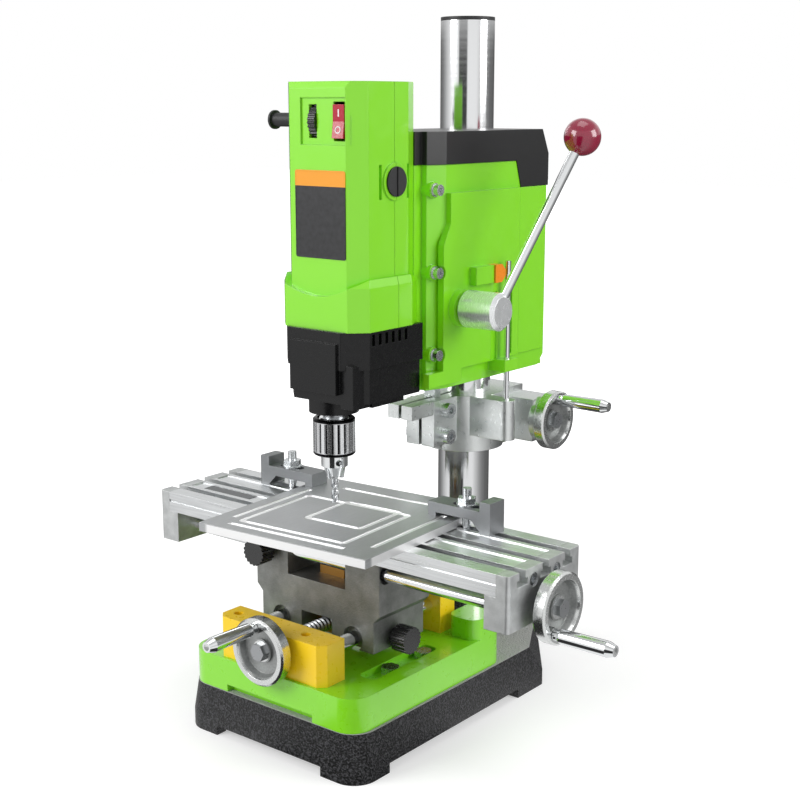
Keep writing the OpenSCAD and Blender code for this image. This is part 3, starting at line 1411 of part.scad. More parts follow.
module chuck_body() {
  cone_h = 8;
  cone_shares = [0.31, 0.42];
  mouth_share = 0.53;
  key_d = 5;
  key_rise = 4;
  bevel = 2;
  color(chrome) spindle_at() difference() {
    rotate_extrude() polygon([[0, chuck_low], [chuck_d * cone_shares[0], chuck_low],
      [chuck_d * cone_shares[1], chuck_low + cone_h], [chuck_d / 2, chuck_low + cone_h],
      [chuck_d / 2, chuck_top - sleeve_h], [core_d / 2, chuck_top - sleeve_h],
      [core_d / 2, chuck_top - bevel], [core_d / 2 - bevel, chuck_top], [0, chuck_top]]);
    rod_z(chuck_d * mouth_share, chuck_low - over, chuck_top - nose_l - bevel, 0, 0);
    rod_z(nose_d, chuck_top - nose_l, chuck_top + over, 0, 0);
    for (a = jaw_at) {
      jaw_frame(a) cylinder(d = jaw_d + 2 * fit, h = jaw_l + jaw_travel + over);
      jaw_frame(a) translate([0, 0, -jaw_l]) cylinder(d = jaw_d + 2 * fit, h = jaw_l + over);
      rotate(a + 60) rod_x(key_d, 0, chuck_d, 0, chuck_low + cone_h + key_rise);
    }
  }
}
module drill_bit() {
  flute_l = 24;
  point_h = 2;
  grip_h = 20;
  flute_shares = [0.42, 0.5];
  color(steel) spindle_at() difference() {
    rotate_extrude() polygon([[0, bit_tip], [bit_d / 2, bit_tip + point_h],
      [bit_d / 2, chuck_low + grip_h], [0, chuck_low + grip_h]]);
    for (s = [0, 180]) translate([0, 0, bit_tip - over]) linear_extrude(flute_l, twist = -360, slices = 16)
      rotate(s) translate([bit_d * flute_shares[0], 0]) circle(d = bit_d * flute_shares[1], $fn = 8);
  }
}
module chuck_sleeve() {
  ribs = 20;
  groove = 2.4;
  band = 3;
  bevel = 1;
  r = sleeve_d / 2;
  z0 = chuck_top - sleeve_h;
  color(chrome) spindle_at() difference() {
    union() {
      translate([0, 0, z0 + band]) linear_extrude(sleeve_h - 2 * band) difference() {
        circle(r);
        for (i = [0:ribs - 1]) rotate(360 * i / ribs) translate([r, 0]) circle(d = groove, $fn = 16);
      }
      rotate_extrude() polygon([[0, z0], [r - bevel, z0], [r, z0 + bevel], [r, z0 + band], [0, z0 + band]]);
      rotate_extrude() polygon([[0, chuck_top - band], [r, chuck_top - band], [r, chuck_top - bevel],
        [r - bevel, chuck_top], [0, chuck_top]]);
    }
    rod_z(core_d + 2 * fit, z0 - over, chuck_top + over, 0, 0);
  }
}
module chuck_jaw(i) {
  color(steel) spindle_at() difference() {
    jaw_frame(jaw_at[i]) cylinder(d = jaw_d, h = jaw_l);
    rod_z(bit_d + 2 * fit, chuck_low - jaw_l, chuck_top, 0, 0);
  }
}
module chuck_jaw_1() { chuck_jaw(0); }
module chuck_jaw_2() { chuck_jaw(1); }
module chuck_jaw_3() { chuck_jaw(2); }

base_casting();
column();
column_cap();
lift_rack();
bed_casting();
stand_screws();
front_block();
rear_block();
cross_guide_rods();
cross_screw();
cross_handwheel();
cross_grip();
saddle_casting();
lead_nuts();
saddle_lock_knob();
table_lock_knob();
table_top();
left_end_bracket();
right_end_bracket();
table_guide_rods();
bracket_screws();
workpiece_plate();
clamp_straps();
clamp_studs();
table_screw();
table_handwheel();
table_grip();
column_bracket();
bracket_bolts();
depth_rod();
feed_rack();
lift_shaft();
lift_handwheel();
lift_grip();
head_shell_right();
head_shell_left();
head_cover();
housing_screws();
motor_shell_front();
motor_shell_rear();
gearbox_housing();
motor_stator();
brush_caps();
cord_guard();
depth_pointer();
spindle_bearings();
feed_pinion();
feed_hub();
feed_lever();
lever_ball();
rocker_switch();
speed_dial();
motor_rotor();
spindle();
chuck_body();
drill_bit();
chuck_sleeve();
chuck_jaw_1();
chuck_jaw_2();
chuck_jaw_3();
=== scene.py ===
import math
import bmesh
import bpy
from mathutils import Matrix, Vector


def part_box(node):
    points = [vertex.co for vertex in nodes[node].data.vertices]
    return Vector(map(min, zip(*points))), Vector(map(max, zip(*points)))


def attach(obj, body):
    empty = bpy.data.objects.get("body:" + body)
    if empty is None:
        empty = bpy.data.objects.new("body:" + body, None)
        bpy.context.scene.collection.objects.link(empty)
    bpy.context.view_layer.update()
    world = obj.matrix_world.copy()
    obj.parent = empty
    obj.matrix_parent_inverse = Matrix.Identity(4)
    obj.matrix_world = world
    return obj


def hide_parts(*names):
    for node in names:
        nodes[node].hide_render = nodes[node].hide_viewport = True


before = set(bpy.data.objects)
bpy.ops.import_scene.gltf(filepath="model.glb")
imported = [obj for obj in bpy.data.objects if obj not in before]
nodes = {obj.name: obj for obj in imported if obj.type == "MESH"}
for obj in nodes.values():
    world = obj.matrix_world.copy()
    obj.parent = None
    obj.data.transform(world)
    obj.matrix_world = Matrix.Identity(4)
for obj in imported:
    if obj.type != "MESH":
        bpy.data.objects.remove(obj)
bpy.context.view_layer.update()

# Camera: a 62 mm lens on a 36 mm wide frame, a little above the table and to the right of the
# machine's front, where the photograph was taken from.
camera_down, camera_turn = 12.1, 38.8  # degrees
camera_data = bpy.data.cameras.new("studio_camera")
camera_data.sensor_width = 36.0
camera_data.lens = 62.29
camera_data.clip_start = 0.05
camera_data.clip_end = 50.0
camera = bpy.data.objects.new("studio_camera", camera_data)
bpy.context.scene.collection.objects.link(camera)
camera.location = (0.7169, -0.9836, 0.5048)
camera.rotation_euler = (math.radians(90 - camera_down), 0.0, math.radians(camera_turn))
bpy.context.scene.camera = camera
bpy.context.scene.view_settings.view_transform = "Standard"


# Studio paper: white paper stands all round the machine. The camera sees it white, and it lights
# the machine at half of that, so that colours come out as they are written. Metal mirrors it
# darker than the camera sees it, so that level faces stand out from the sheet below them.
def colour(code):
    """A hex sRGB colour as the linear values that a shader socket takes."""
    channels = [int(code[i:i + 2], 16) / 255 for i in (1, 3, 5)]
    linear = [c / 12.92 if c <= 0.04045 else ((c + 0.055) / 1.055) ** 2.4 for c in channels]
    return (*linear, 1.0)


def add_node(tree, kind, settings=None, links=None):
    """Adds one node, sets its attributes or inputs by name, and links its inputs."""
    node = tree.nodes.new("ShaderNode" + kind)
    for name, value in (settings or {}).items():
        if isinstance(name, str) and hasattr(node, name):
            setattr(node, name, value)
        else:
            node.inputs[name].default_value = value
    for name, socket in (links or {}).items():
        tree.links.new(socket, node.inputs[name])
    return node


paper_white, paper_light, paper_gloss = 1.0, 0.5, 0.12
world = bpy.data.worlds.new("white_paper")
bpy.context.scene.world = world
world.use_nodes = True
tree = world.node_tree
tree.nodes.clear()
paper_rays = add_node(tree, "LightPath")
paper_seen = add_node(tree, "Math", {"operation": "MAXIMUM"},
                      {0: paper_rays.outputs["Is Camera Ray"],
                       1: paper_rays.outputs["Is Transmission Ray"]})
paper_level = add_node(tree, "MapRange", {"To Min": paper_light, "To Max": paper_white},
                       {"Value": paper_seen.outputs[0]})
paper_mirrored = add_node(tree, "Math", {"operation": "MULTIPLY_ADD", 1: paper_gloss},
                          {0: paper_rays.outputs["Is Glossy Ray"], 2: paper_level.outputs[0]})
paper = add_node(tree, "Background", {"Color": colour("#ffffff")},
                 {"Strength": paper_mirrored.outputs[0]})
add_node(tree, "OutputWorld", links={"Surface": paper.outputs[0]})


# Floor: a wide sheet of pale paper that the machine stands on. It keeps the machine's soft
# shadow, and runs out to plain white further off, so that it has no edge in the picture.
def empty_material(name):
    """A new material, and its node tree with nothing in it."""
    material = bpy.data.materials.new(name)
    material.use_nodes = True
    material.node_tree.nodes.clear()
    return material, material.node_tree


def painted_reflection_tone(tree, place):
    """A painted reflection: the studio's brightness by its direction from the machine, as polished
    metal mirrors it.
    """
    around = add_node(tree, "TexGradient", {"gradient_type": "RADIAL"}, {"Vector": place})
    tone = add_node(tree, "ValToRGB", links={"Fac": around.outputs["Fac"]})
    # turns about the column: 0 at the left, 0.25 in front, 0.5 at the right, 0.75 behind
    stops = [(0.0, 0.22), (0.05, 0.42), (0.10, 0.72), (0.16, 1.0), (0.245, 1.0), (0.25, 0.035),
             (0.345, 0.035), (0.352, 1.0), (0.46, 0.98), (0.50, 0.7), (0.56, 0.38), (0.62, 0.2),
             (0.75, 0.12), (0.9, 0.12), (1.0, 0.22)]
    ramp = tone.color_ramp
    while len(ramp.elements) < len(stops):
        ramp.elements.new(0.5)
    for element, (turn, level) in zip(ramp.elements, stops):
        element.position = turn
        element.color = (level, level, level, 1.0)
    return tone.outputs["Color"]


floor_size, floor_mirror_level = 14, 0.95
fade_start, fade_end = 0.4, 1.0  # metres from the column
glow_near, glow_far = 0.42, 1.0
bpy.ops.object.select_all(action="DESELECT")
bpy.ops.mesh.primitive_plane_add(size=floor_size, location=(0, 0, 0))
floor = bpy.context.object
floor.name = "studio_floor"
floor_material, tree = empty_material("studio_paper")
floor_rays = add_node(tree, "LightPath")
floor_place = add_node(tree, "TexCoord").outputs["Object"]
floor_reach = add_node(tree, "VectorMath", {"operation": "LENGTH"}, {0: floor_place})
floor_fade = add_node(tree, "MapRange", {"From Min": fade_start, "From Max": fade_end,
                                         "To Min": glow_near, "To Max": glow_far},
                      {"Value": floor_reach.outputs["Value"]})
floor_level = add_node(tree, "Math", {"operation": "MULTIPLY"},
                       {0: floor_rays.outputs["Is Camera Ray"], 1: floor_fade.outputs[0]})
floor_paper = add_node(tree, "BsdfDiffuse", {"Color": colour("#d9d9d9")})
floor_glow = add_node(tree, "Emission", {"Color": colour("#ffffff")},
                      {"Strength": floor_level.outputs[0]})
floor_seen = add_node(tree, "AddShader",
                      links={0: floor_paper.outputs[0], 1: floor_glow.outputs[0]})
# glossy surfaces see the floor glow with the painted reflection tone, not as lit paper
floor_painted_reflection = add_node(tree, "Emission", {"Strength": floor_mirror_level},
                          {"Color": painted_reflection_tone(tree, floor_place)})
floor_either = add_node(tree, "MixShader", links={0: floor_rays.outputs["Is Glossy Ray"],
                                                  1: floor_seen.outputs[0],
                                                  2: floor_painted_reflection.outputs[0]})
add_node(tree, "OutputMaterial", links={"Surface": floor_either.outputs[0]})
floor.data.materials.append(floor_material)


# Soft boxes: three square studio lamps behind diffusers. The strongest stands in front at the
# left, one at the right a little behind, and a weak one hangs overhead.
def soft_box(name, place, aim, size, power):
    """A square studio lamp with a diffuser, turned to a point on the machine."""
    lamp = bpy.data.lights.new(name, "AREA")
    lamp.shape = "SQUARE"
    lamp.size = size
    lamp.energy = power
    box = bpy.data.objects.new(name, lamp)
    bpy.context.scene.collection.objects.link(box)
    box.location = place
    box.rotation_euler = (Vector(aim) - Vector(place)).to_track_quat("-Z", "Y").to_euler()


soft_box("left_soft_box", (-1.0, -2.0, 1.3), aim=(0.0, -0.1, 0.3), size=1.3, power=34)
soft_box("right_soft_box", (2.0, 0.7, 1.1), aim=(0.0, -0.1, 0.3), size=1.2, power=25)
soft_box("top_soft_box", (0.1, -0.1, 2.4), aim=(0.0, -0.1, 0.2), size=1.4, power=11)

# Grey cards: a ring round the machine that glows, black beside the camera and darker to the back,
# as a studio
# sets up for chrome: a painted reflection. Only glossy surfaces show it, and it throws no light or
# shadow.
card_radius, card_height = 2.9, 2.6
white_start, white_end = -0.62, -0.5  # from the middle of the cards' height
bpy.ops.object.select_all(action="DESELECT")
bpy.ops.mesh.primitive_cylinder_add(vertices=96, radius=card_radius, depth=card_height,
                                    end_fill_type="NOTHING", location=(0, 0, card_height / 2))
cards = bpy.context.object
cards.name = "painted_reflection_cards"
card_material, tree = empty_material("painted_reflection_card")
card_place = add_node(tree, "TexCoord").outputs["Object"]
card_up = add_node(tree, "SeparateXYZ", links={"Vector": card_place}).outputs["Z"]
# above the height of the motor the cards are white, and that is what level faces mirror
card_white = add_node(tree, "MapRange", {"From Min": white_start, "From Max": white_end},
                      {"Value": card_up})
card_tone = add_node(tree, "Mix", {"data_type": "RGBA", 7: colour("#f6f6f6")},
                     {0: card_white.outputs[0], 6: painted_reflection_tone(tree, card_place)})
card_glow = add_node(tree, "Emission", {"Strength": 1.0}, {"Color": card_tone.outputs[2]})
add_node(tree, "OutputMaterial", links={"Surface": card_glow.outputs[0]})
cards.data.materials.append(card_material)
cards.visible_camera = False
cards.visible_diffuse = False
cards.visible_shadow = False
cards.visible_transmission = False

# Base casting: a hollow grey iron casting on four feet, under a thick black enamel that is
# textured to hide the sand-cast skin. Its top is milled bare, and the bed is bolted on there.
noise_span = (0.3, 0.7)  # nearly all of a noise's values lie between these


def finish(name, inputs, grain_mm, rough, bump_mm, edge_mm=0.0, stretch=(1, 1, 1), detail=3.0):
    """A material whose grain, grain_mm across, varies its roughness and stands up as bump.

    The grain is longer along an axis where stretch is above 1. Tool marks and pores that are
    finer than the picture shows are drawn about 1 mm across. edge_mm rounds the edges, in the
    normal alone."""
    material, tree = empty_material(name)
    shader = add_node(tree, "BsdfPrincipled", inputs)
    add_node(tree, "OutputMaterial", links={"Surface": shader.outputs[0]})
    place = add_node(tree, "TexCoord").outputs["Object"]
    stretched = add_node(tree, "Mapping", {"Scale": tuple(1 / s for s in stretch)},
                         {"Vector": place})
    grain = add_node(tree, "TexNoise", {"Scale": 1000 / grain_mm, "Detail": detail},
                     {"Vector": stretched.outputs[0]}).outputs["Fac"]
    roughness = add_node(tree, "MapRange", {"From Min": noise_span[0], "From Max": noise_span[1],
                                            "To Min": rough[0], "To Max": rough[1]},
                         {"Value": grain})
    tree.links.new(roughness.outputs[0], shader.inputs["Roughness"])
    bump = add_node(tree, "Bump", {"Distance": bump_mm / 1000}, {"Height": grain})
    if edge_mm:
        edge = add_node(tree, "Bevel", {"samples": 4, "Radius": edge_mm / 1000})
        tree.links.new(edge.outputs[0], bump.inputs["Normal"])
    tree.links.new(bump.outputs[0], shader.inputs["Normal"])
    return material


def parts_of(material):
    tree = material.node_tree
    return (tree, tree.nodes["Principled BSDF"],
            tree.nodes["Texture Coordinate"].outputs["Object"],
            tree.nodes["Noise Texture"].outputs["Fac"])


def mottle(tree, noise, low, high, span=noise_span):
    """Two colours of one surface, mixed by a noise."""
    share = add_node(tree, "MapRange", {"From Min": span[0], "From Max": span[1]},
                     {"Value": noise})
    return add_node(tree, "Mix", {"data_type": "RGBA", 6: colour(low), 7: colour(high)},
                    {0: share.outputs[0]}).outputs[2]


def dress(material, *names):
    """Puts a material on CAD nodes."""
    for name in names:
        for slot in nodes[name].material_slots:
            slot.material = material


# rough grains 1.6 mm apart; the lighter grey specks in the black are partly the enamel's fleck and
# partly painted glints
black_enamel = finish("textured_black_enamel", {"IOR": 1.52, "Specular IOR Level": 0.35},
                      grain_mm=1.6, detail=4.0, rough=(0.32, 0.55), bump_mm=3.0, edge_mm=1.2)
tree, shader, place, enamel_grain = parts_of(black_enamel)
# the milled top shows as a light strip round the bed
base_top, milled_reach, milled_full = 0.040, 0.0006, 0.0003
base_up = add_node(tree, "SeparateXYZ", links={"Vector": place}).outputs["Z"]
milled_below = add_node(tree, "MapRange", {"From Min": base_top - milled_reach,
                                           "From Max": base_top - milled_full},
                        {"Value": base_up})
milled_above = add_node(tree, "MapRange", {"From Min": base_top + milled_reach,
                                           "From Max": base_top + milled_full},
                        {"Value": base_up})
milled = add_node(tree, "Math", {"operation": "MULTIPLY"},
                  {0: milled_below.outputs[0], 1: milled_above.outputs[0]})
# black with lighter specks: the enamel's fleck and painted glints
enamel_fleck_and_glint_tone = mottle(tree, enamel_grain, "#0b0b0c", "#48484b", span=(0.47, 0.6))
base_tone = add_node(tree, "Mix", {"data_type": "RGBA", 7: colour("#b9bab8")},
                     {0: milled.outputs[0], 6: enamel_fleck_and_glint_tone})
tree.links.new(base_tone.outputs[2], shader.inputs["Base Color"])
dress(black_enamel, "base_casting")

# Column: a 46 mm steel tube, ground and hard chromed, set in the base's socket. Grinding leaves
# faint rings, which only soften its reflections a little.
chromed_tube = finish("hard_chromed_tube", {"Base Color": colour("#e4e5e6"), "Metallic": 1.0},
                      grain_mm=60.0, stretch=(6, 6, 0.05), detail=5.0, rough=(0.1, 0.16),
                      bump_mm=0.004)
dress(chromed_tube, "column")

# Racks, feed pinion, lift shaft, spindle and bearings: steel, milled, turned or ground, and left
# bare. Fine tool marks give it a soft grey shine.
machined_steel = finish("machined_steel", {"Base Color": colour("#b9bcbf"), "Metallic": 1.0},
                        grain_mm=1.5, detail=4.0, rough=(0.24, 0.4), bump_mm=0.02, edge_mm=0.3)
dress(machined_steel, "lift_rack", "feed_rack", "feed_pinion", "lift_shaft", "spindle",
      "spindle_bearings")

# Column cap, cord guard and brush caps: black polypropylene, injection moulded, and pressed or
# screwed in. The mould's fine texture leaves it dull.
black_cap = finish("black_polypropylene", {"Base Color": colour("#202022"), "IOR": 1.49},
                   grain_mm=0.8, rough=(0.42, 0.55), bump_mm=0.06, edge_mm=0.6)
dress(black_cap, "column_cap", "cord_guard", "brush_caps")

# Bed casting: grey iron under a bright green gloss enamel, which lies a little wavy over the
# casting's skin. It is bolted down to the base from its two side pockets.
green_enamel = finish("green_gloss_enamel", {"Base Color": colour("#86df10"), "IOR": 1.52,
                                             "Coat Weight": 0.8, "Coat Roughness": 0.08},
                      grain_mm=7.0, detail=2.0, rough=(0.26, 0.38), bump_mm=0.25, edge_mm=1.0)
dress(green_enamel, "bed_casting")

# Screws, bolts and clamp studs: cold-formed steel, zinc plated after the threads are rolled. The
# plating is bright, and a little cloudy from place to place.
zinc_plate = finish("zinc_plated_steel", {"Base Color": colour("#cfd2d4"), "Metallic": 1.0},
                    grain_mm=1.0, detail=2.0, rough=(0.2, 0.34), bump_mm=0.02, edge_mm=0.25)
dress(zinc_plate, "stand_screws", "bracket_screws", "bracket_bolts", "housing_screws",
      "clamp_studs")

# Guide blocks: two aluminium blocks under yellow enamel, each held by two socket screws from
# above. They carry the ground rods and the ends of the cross screw.
yellow_enamel = finish("yellow_enamel", {"Base Color": colour("#fdd31c"), "IOR": 1.52},
                       grain_mm=5.0, detail=2.0, rough=(0.26, 0.36), bump_mm=0.12, edge_mm=0.8)
dress(yellow_enamel, "front_block", "rear_block")

# Guide rods, grips, depth rod, feed lever and chuck body: steel, turned or ground, then polished
# and chromed. They mirror the studio almost sharply.
polished_chrome = finish("polished_chrome", {"Base Color": colour("#e8eaeb"), "Metallic": 1.0},
                         grain_mm=9.0, detail=2.0, rough=(0.06, 0.11), bump_mm=0.004)
dress(polished_chrome, "cross_guide_rods", "table_guide_rods", "cross_grip", "table_grip",
      "lift_grip", "depth_rod", "feed_lever", "chuck_body")

# Lead screws of the two slides: steel bar with a rolled thread. One turns in the guide blocks and
# the other in the end brackets. Rolling leaves them grey and half bright.
rolled_steel = finish("rolled_steel", {"Base Color": colour("#a4a6a8"), "Metallic": 1.0},
                      grain_mm=2.0, rough=(0.26, 0.42), bump_mm=0.03, edge_mm=0.2)
dress(rolled_steel, "cross_screw", "table_screw")


# Handwheels: die-cast aluminium, fixed on the ends of the two lead screws and the lift shaft. The
# rim and hub are turned bright, and the web between them keeps its dull cast skin.
def middle(low, high):
    """The point halfway between two corners."""
    return tuple((a + b) / 2 for a, b in zip(low, high))


def off_axis(tree, place, centre, axis):
    """How far a point lies from the axis that runs through a round piece's centre."""
    across = tuple(0.0 if i == axis else 1.0 for i in range(3))
    from_centre = add_node(tree, "VectorMath", {"operation": "SUBTRACT", 1: centre}, {0: place})
    flat = add_node(tree, "VectorMath", {"operation": "MULTIPLY", 1: across},
                    {0: from_centre.outputs[0]})
    return add_node(tree, "VectorMath", {"operation": "LENGTH"},
                    {0: flat.outputs[0]}).outputs["Value"]


rim_start, rim_full = 0.0068, 0.0062  # in from the edge
hub_end, hub_full = 0.0088, 0.0084  # out from the axis
turning_smooths = -0.24
for wheel, wheel_axis in (("cross_handwheel", 1), ("table_handwheel", 0), ("lift_handwheel", 0)):
    cast_aluminium = finish("turned_cast_aluminium_" + wheel, {"Metallic": 1.0},
                            grain_mm=1.6, detail=4.0, rough=(0.4, 0.54), bump_mm=0.06,
                            edge_mm=0.5)
    tree, shader, place, cast_grain = parts_of(cast_aluminium)
    wheel_low, wheel_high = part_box(wheel)
    wheel_radius = (wheel_high[2] - wheel_low[2]) / 2
    wheel_out = off_axis(tree, place, middle(wheel_low, wheel_high), wheel_axis)
    wheel_rim = add_node(tree, "MapRange", {"From Min": wheel_radius - rim_start,
                                            "From Max": wheel_radius - rim_full},
                         {"Value": wheel_out})
    wheel_hub = add_node(tree, "MapRange", {"From Min": hub_end, "From Max": hub_full},
                         {"Value": wheel_out})
    wheel_turned = add_node(tree, "Math", {"operation": "MAXIMUM"},
                            {0: wheel_rim.outputs[0], 1: wheel_hub.outputs[0]}).outputs[0]
    wheel_tone = add_node(tree, "Mix", {"data_type": "RGBA", 7: colour("#d9dbda")},
                          {0: wheel_turned, 6: mottle(tree, cast_grain, "#8f9190", "#a9abaa")})
    tree.links.new(wheel_tone.outputs[2], shader.inputs["Base Color"])
    cast_rough = shader.inputs["Roughness"].links[0].from_socket
    wheel_rough = add_node(tree, "Math", {"operation": "MULTIPLY_ADD", 1: turning_smooths},
                           {0: wheel_turned, 2: cast_rough})
    tree.links.new(wheel_rough.outputs[0], shader.inputs["Roughness"])
    dress(cast_aluminium, wheel)

# Saddle: a sand-cast aluminium block that slides on the front-to-back rods and carries the table's.
# It is left as cast, dull and unevenly grey.
sand_casting = finish("sand_cast_aluminium", {"Metallic": 0.85}, grain_mm=1.4, detail=5.0,
                      rough=(0.42, 0.6), bump_mm=0.25, edge_mm=0.9)
tree, shader, place, _ = parts_of(sand_casting)
sand_stain_mm = 14.0
sand_stain = add_node(tree, "TexNoise", {"Scale": 1000 / sand_stain_mm, "Detail": 3.0},
                      {"Vector": place})
tree.links.new(mottle(tree, sand_stain.outputs["Fac"], "#777876", "#919290"),
               shader.inputs["Base Color"])
dress(sand_casting, "saddle_casting")

# Lead nuts: two blocks of bearing bronze, bored and threaded, one set in the saddle's window and
# one above it. They show a warm satin yellow.
bronze = finish("turned_bronze", {"Base Color": colour("#b58545"), "Metallic": 1.0},
                grain_mm=1.0, rough=(0.3, 0.4), bump_mm=0.02)
dress(bronze, "lead_nuts")

# Lock knobs and speed dial: black phenolic, compression moulded with a fluted rim. The knobs
# screw into the saddle, and the dial turns on its own short axle. The mould leaves a quiet gloss.
phenolic = finish("black_phenolic", {"Base Color": colour("#161617"), "IOR": 1.6},
                  grain_mm=1.2, rough=(0.24, 0.34), bump_mm=0.03, edge_mm=0.5)
dress(phenolic, "saddle_lock_knob", "table_lock_knob", "speed_dial")

# Table: an aluminium extrusion with three T-slots, milled on top. Fine marks run along it and
# streak its reflections, and are drawn 0.9 mm apart, coarser than they are, so that they show.
milled_aluminium = finish("milled_aluminium", {"Metallic": 1.0}, grain_mm=0.9,
                          stretch=(40, 1, 1), rough=(0.26, 0.4), bump_mm=0.03, edge_mm=0.3)
tree, shader, _, mill_marks = parts_of(milled_aluminium)
tree.links.new(mottle(tree, mill_marks, "#d2d4d5", "#e8eaeb"), shader.inputs["Base Color"])
dress(milled_aluminium, "table_top")


# Table label: a strip of aluminium foil, printed plain grey with a narrow rim, and stuck in the
# shallow channel between the front and middle slots, at the left end.
def pick(piece, kind, test):
    """In edit mode, selects those of a piece's edges or faces that pass a test."""
    bpy.ops.mesh.select_all(action="DESELECT")
    mesh = bmesh.from_edit_mesh(piece.data)
    for element in getattr(mesh, kind):
        element.select = test(element)
    bmesh.update_edit_mesh(piece.data)


def stamped_plate(name, low, high, outward, corner, rim, sunk):
    """A thin plate between two corners of its box, rounded at its own four corners.

    Its face looks outward, and lies a little deeper inside a flat rim."""
    same_way = 0.9  # a cosine above which two directions count as one
    rim_slope = 0.0002
    bpy.ops.object.select_all(action="DESELECT")
    bpy.ops.mesh.primitive_cube_add(size=1, location=middle(low, high))
    plate = bpy.context.object
    plate.name = name
    plate.scale = [b - a for a, b in zip(low, high)]
    bpy.ops.object.transform_apply(location=True, rotation=True, scale=True)
    bpy.ops.object.mode_set(mode="EDIT")
    pick(plate, "edges", lambda edge: abs((edge.verts[1].co - edge.verts[0].co).normalized()
                                          .dot(outward)) > same_way)
    bpy.ops.mesh.bevel(offset=corner, segments=5, affect="EDGES")
    pick(plate, "faces", lambda face: face.normal.dot(outward) > same_way)
    bpy.ops.mesh.inset(thickness=rim, depth=0.0)
    bpy.ops.mesh.inset(thickness=rim_slope, depth=-sunk)
    bpy.ops.object.mode_set(mode="OBJECT")
    return plate


channel_depth, label_thickness = 0.0008, 0.0003
label_left, label_right, label_front, label_rear = -0.138, -0.084, -0.1912, -0.1798
label_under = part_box("table_top")[1][2] - channel_depth
table_label = stamped_plate("table_label", (label_left, label_front, label_under),
                            (label_right, label_rear, label_under + label_thickness),
                            outward=Vector((0, 0, 1)), corner=0.0009, rim=0.0006, sunk=0.00008)
# rubbed foil, streaked along the table
printed_foil = finish("printed_aluminium_foil", {"Metallic": 0.5}, grain_mm=3.0,
                      stretch=(6, 1, 1), rough=(0.3, 0.45), bump_mm=0.01)
tree, shader, _, foil_rub = parts_of(printed_foil)
tree.links.new(mottle(tree, foil_rub, "#4f5153", "#6d6f71"), shader.inputs["Base Color"])
table_label.data.materials.append(printed_foil)
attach(table_label, "table")

# End brackets: gravity-cast aluminium, shot blasted to an even pale grey, and screwed to the ends
# of the table. They hold the rods that the table slides on.
blasted_aluminium = finish("blasted_cast_aluminium", {"Metallic": 0.9}, grain_mm=1.1, detail=4.0,
                           rough=(0.38, 0.52), bump_mm=0.14, edge_mm=0.7)
tree, shader, place, _ = parts_of(blasted_aluminium)
blast_cloud_mm = 9.0
blast_cloud = add_node(tree, "TexNoise", {"Scale": 1000 / blast_cloud_mm, "Detail": 3.0},
                       {"Vector": place})
tree.links.new(mottle(tree, blast_cloud.outputs["Fac"], "#b8baba", "#d0d2d2"),
               shader.inputs["Base Color"])
dress(blasted_aluminium, "left_end_bracket", "right_end_bracket")

# Workpiece: a ground aluminium plate under the two clamps, with a generic loop of channels cut in
# its face. Grinding marks run across it, and the fresh cuts shine white.
ground_plate = finish("ground_aluminium_plate", {"Metallic": 0.9}, grain_mm=0.8,
                      stretch=(1, 12, 1), rough=(0.36, 0.5), bump_mm=0.03, edge_mm=0.3)
tree, shader, place, plate_grain = parts_of(ground_plate)
workpiece_low, workpiece_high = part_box("workpiece_plate")
workpiece_half = [(high - low) / 2 for low, high in zip(workpiece_low, workpiece_high)]
workpiece_place = add_node(tree, "VectorMath",
                           {"operation": "SUBTRACT", 1: middle(workpiece_low, workpiece_high)},
                           {0: place}).outputs[0]
workpiece_fold = add_node(tree, "VectorMath", {"operation": "ABSOLUTE"}, {0: workpiece_place})
workpiece_out = add_node(tree, "SeparateXYZ", links={"Vector": workpiece_fold.outputs[0]})
workpiece_up = add_node(tree, "SeparateXYZ", links={"Vector": workpiece_place})
# the face and the sides are ground grey, and what lies deeper than the face is freshly cut
cut_depth, ground_depth = 0.0008, 0.0002
side_start, side_full = 0.0006, 0.0004
plate_grey = add_node(tree, "MapRange", {"From Min": workpiece_half[2] - cut_depth,
                                         "From Max": workpiece_half[2] - ground_depth},
                      {"Value": workpiece_up.outputs["Z"]}).outputs[0]
for axis, half in zip("XY", workpiece_half):
    plate_side = add_node(tree, "MapRange", {"From Min": half - side_start,
                                             "From Max": half - side_full},
                          {"Value": workpiece_out.outputs[axis]})
    plate_grey = add_node(tree, "Math", {"operation": "MAXIMUM"},
                          {0: plate_grey, 1: plate_side.outputs[0]}).outputs[0]
plate_tone = add_node(tree, "Mix", {"data_type": "RGBA", 6: colour("#f6f6f6")},
                      {0: plate_grey, 7: mottle(tree, plate_grain, "#a8aaab", "#b8babb")})
tree.links.new(plate_tone.outputs[2], shader.inputs["Base Color"])
dress(ground_plate, "workpiece_plate")

# Clamp straps: forged steel, phosphated a flat mid grey, each pulled down on the workpiece by a
# stud in the back slot.
phosphated = finish("phosphated_steel", {"Base Color": colour("#8a8c8e"), "Metallic": 0.9},
                    grain_mm=1.0, detail=4.0, rough=(0.4, 0.55), bump_mm=0.08, edge_mm=0.5)
dress(phosphated, "clamp_straps")

# Column bracket: cast aluminium, split and pinched round the column by two bolts. It is tumbled in
# stones, which leaves it bright but soft, with rounded edges.
tumbled_casting = finish("tumbled_cast_aluminium", {"Base Color": colour("#dfe2e1"),
                                                    "Metallic": 1.0},
                         grain_mm=3.0, detail=4.0, rough=(0.26, 0.4), bump_mm=0.12, edge_mm=0.8)
dress(tumbled_casting, "column_bracket")

# Head housing: two cast halves screwed together and the motor's moulded shells, all in one green
# gloss finish. It mirrors the studio softly, with a slow waviness.
green_gloss = finish("green_gloss_housing", {"Base Color": colour("#86df10"), "IOR": 1.5,
                                             "Coat Weight": 0.8, "Coat Roughness": 0.07},
                     grain_mm=12.0, detail=1.0, rough=(0.28, 0.36), bump_mm=0.1, edge_mm=1.2)
dress(green_gloss, "head_shell_right", "head_shell_left", "motor_shell_front",
      "motor_shell_rear")

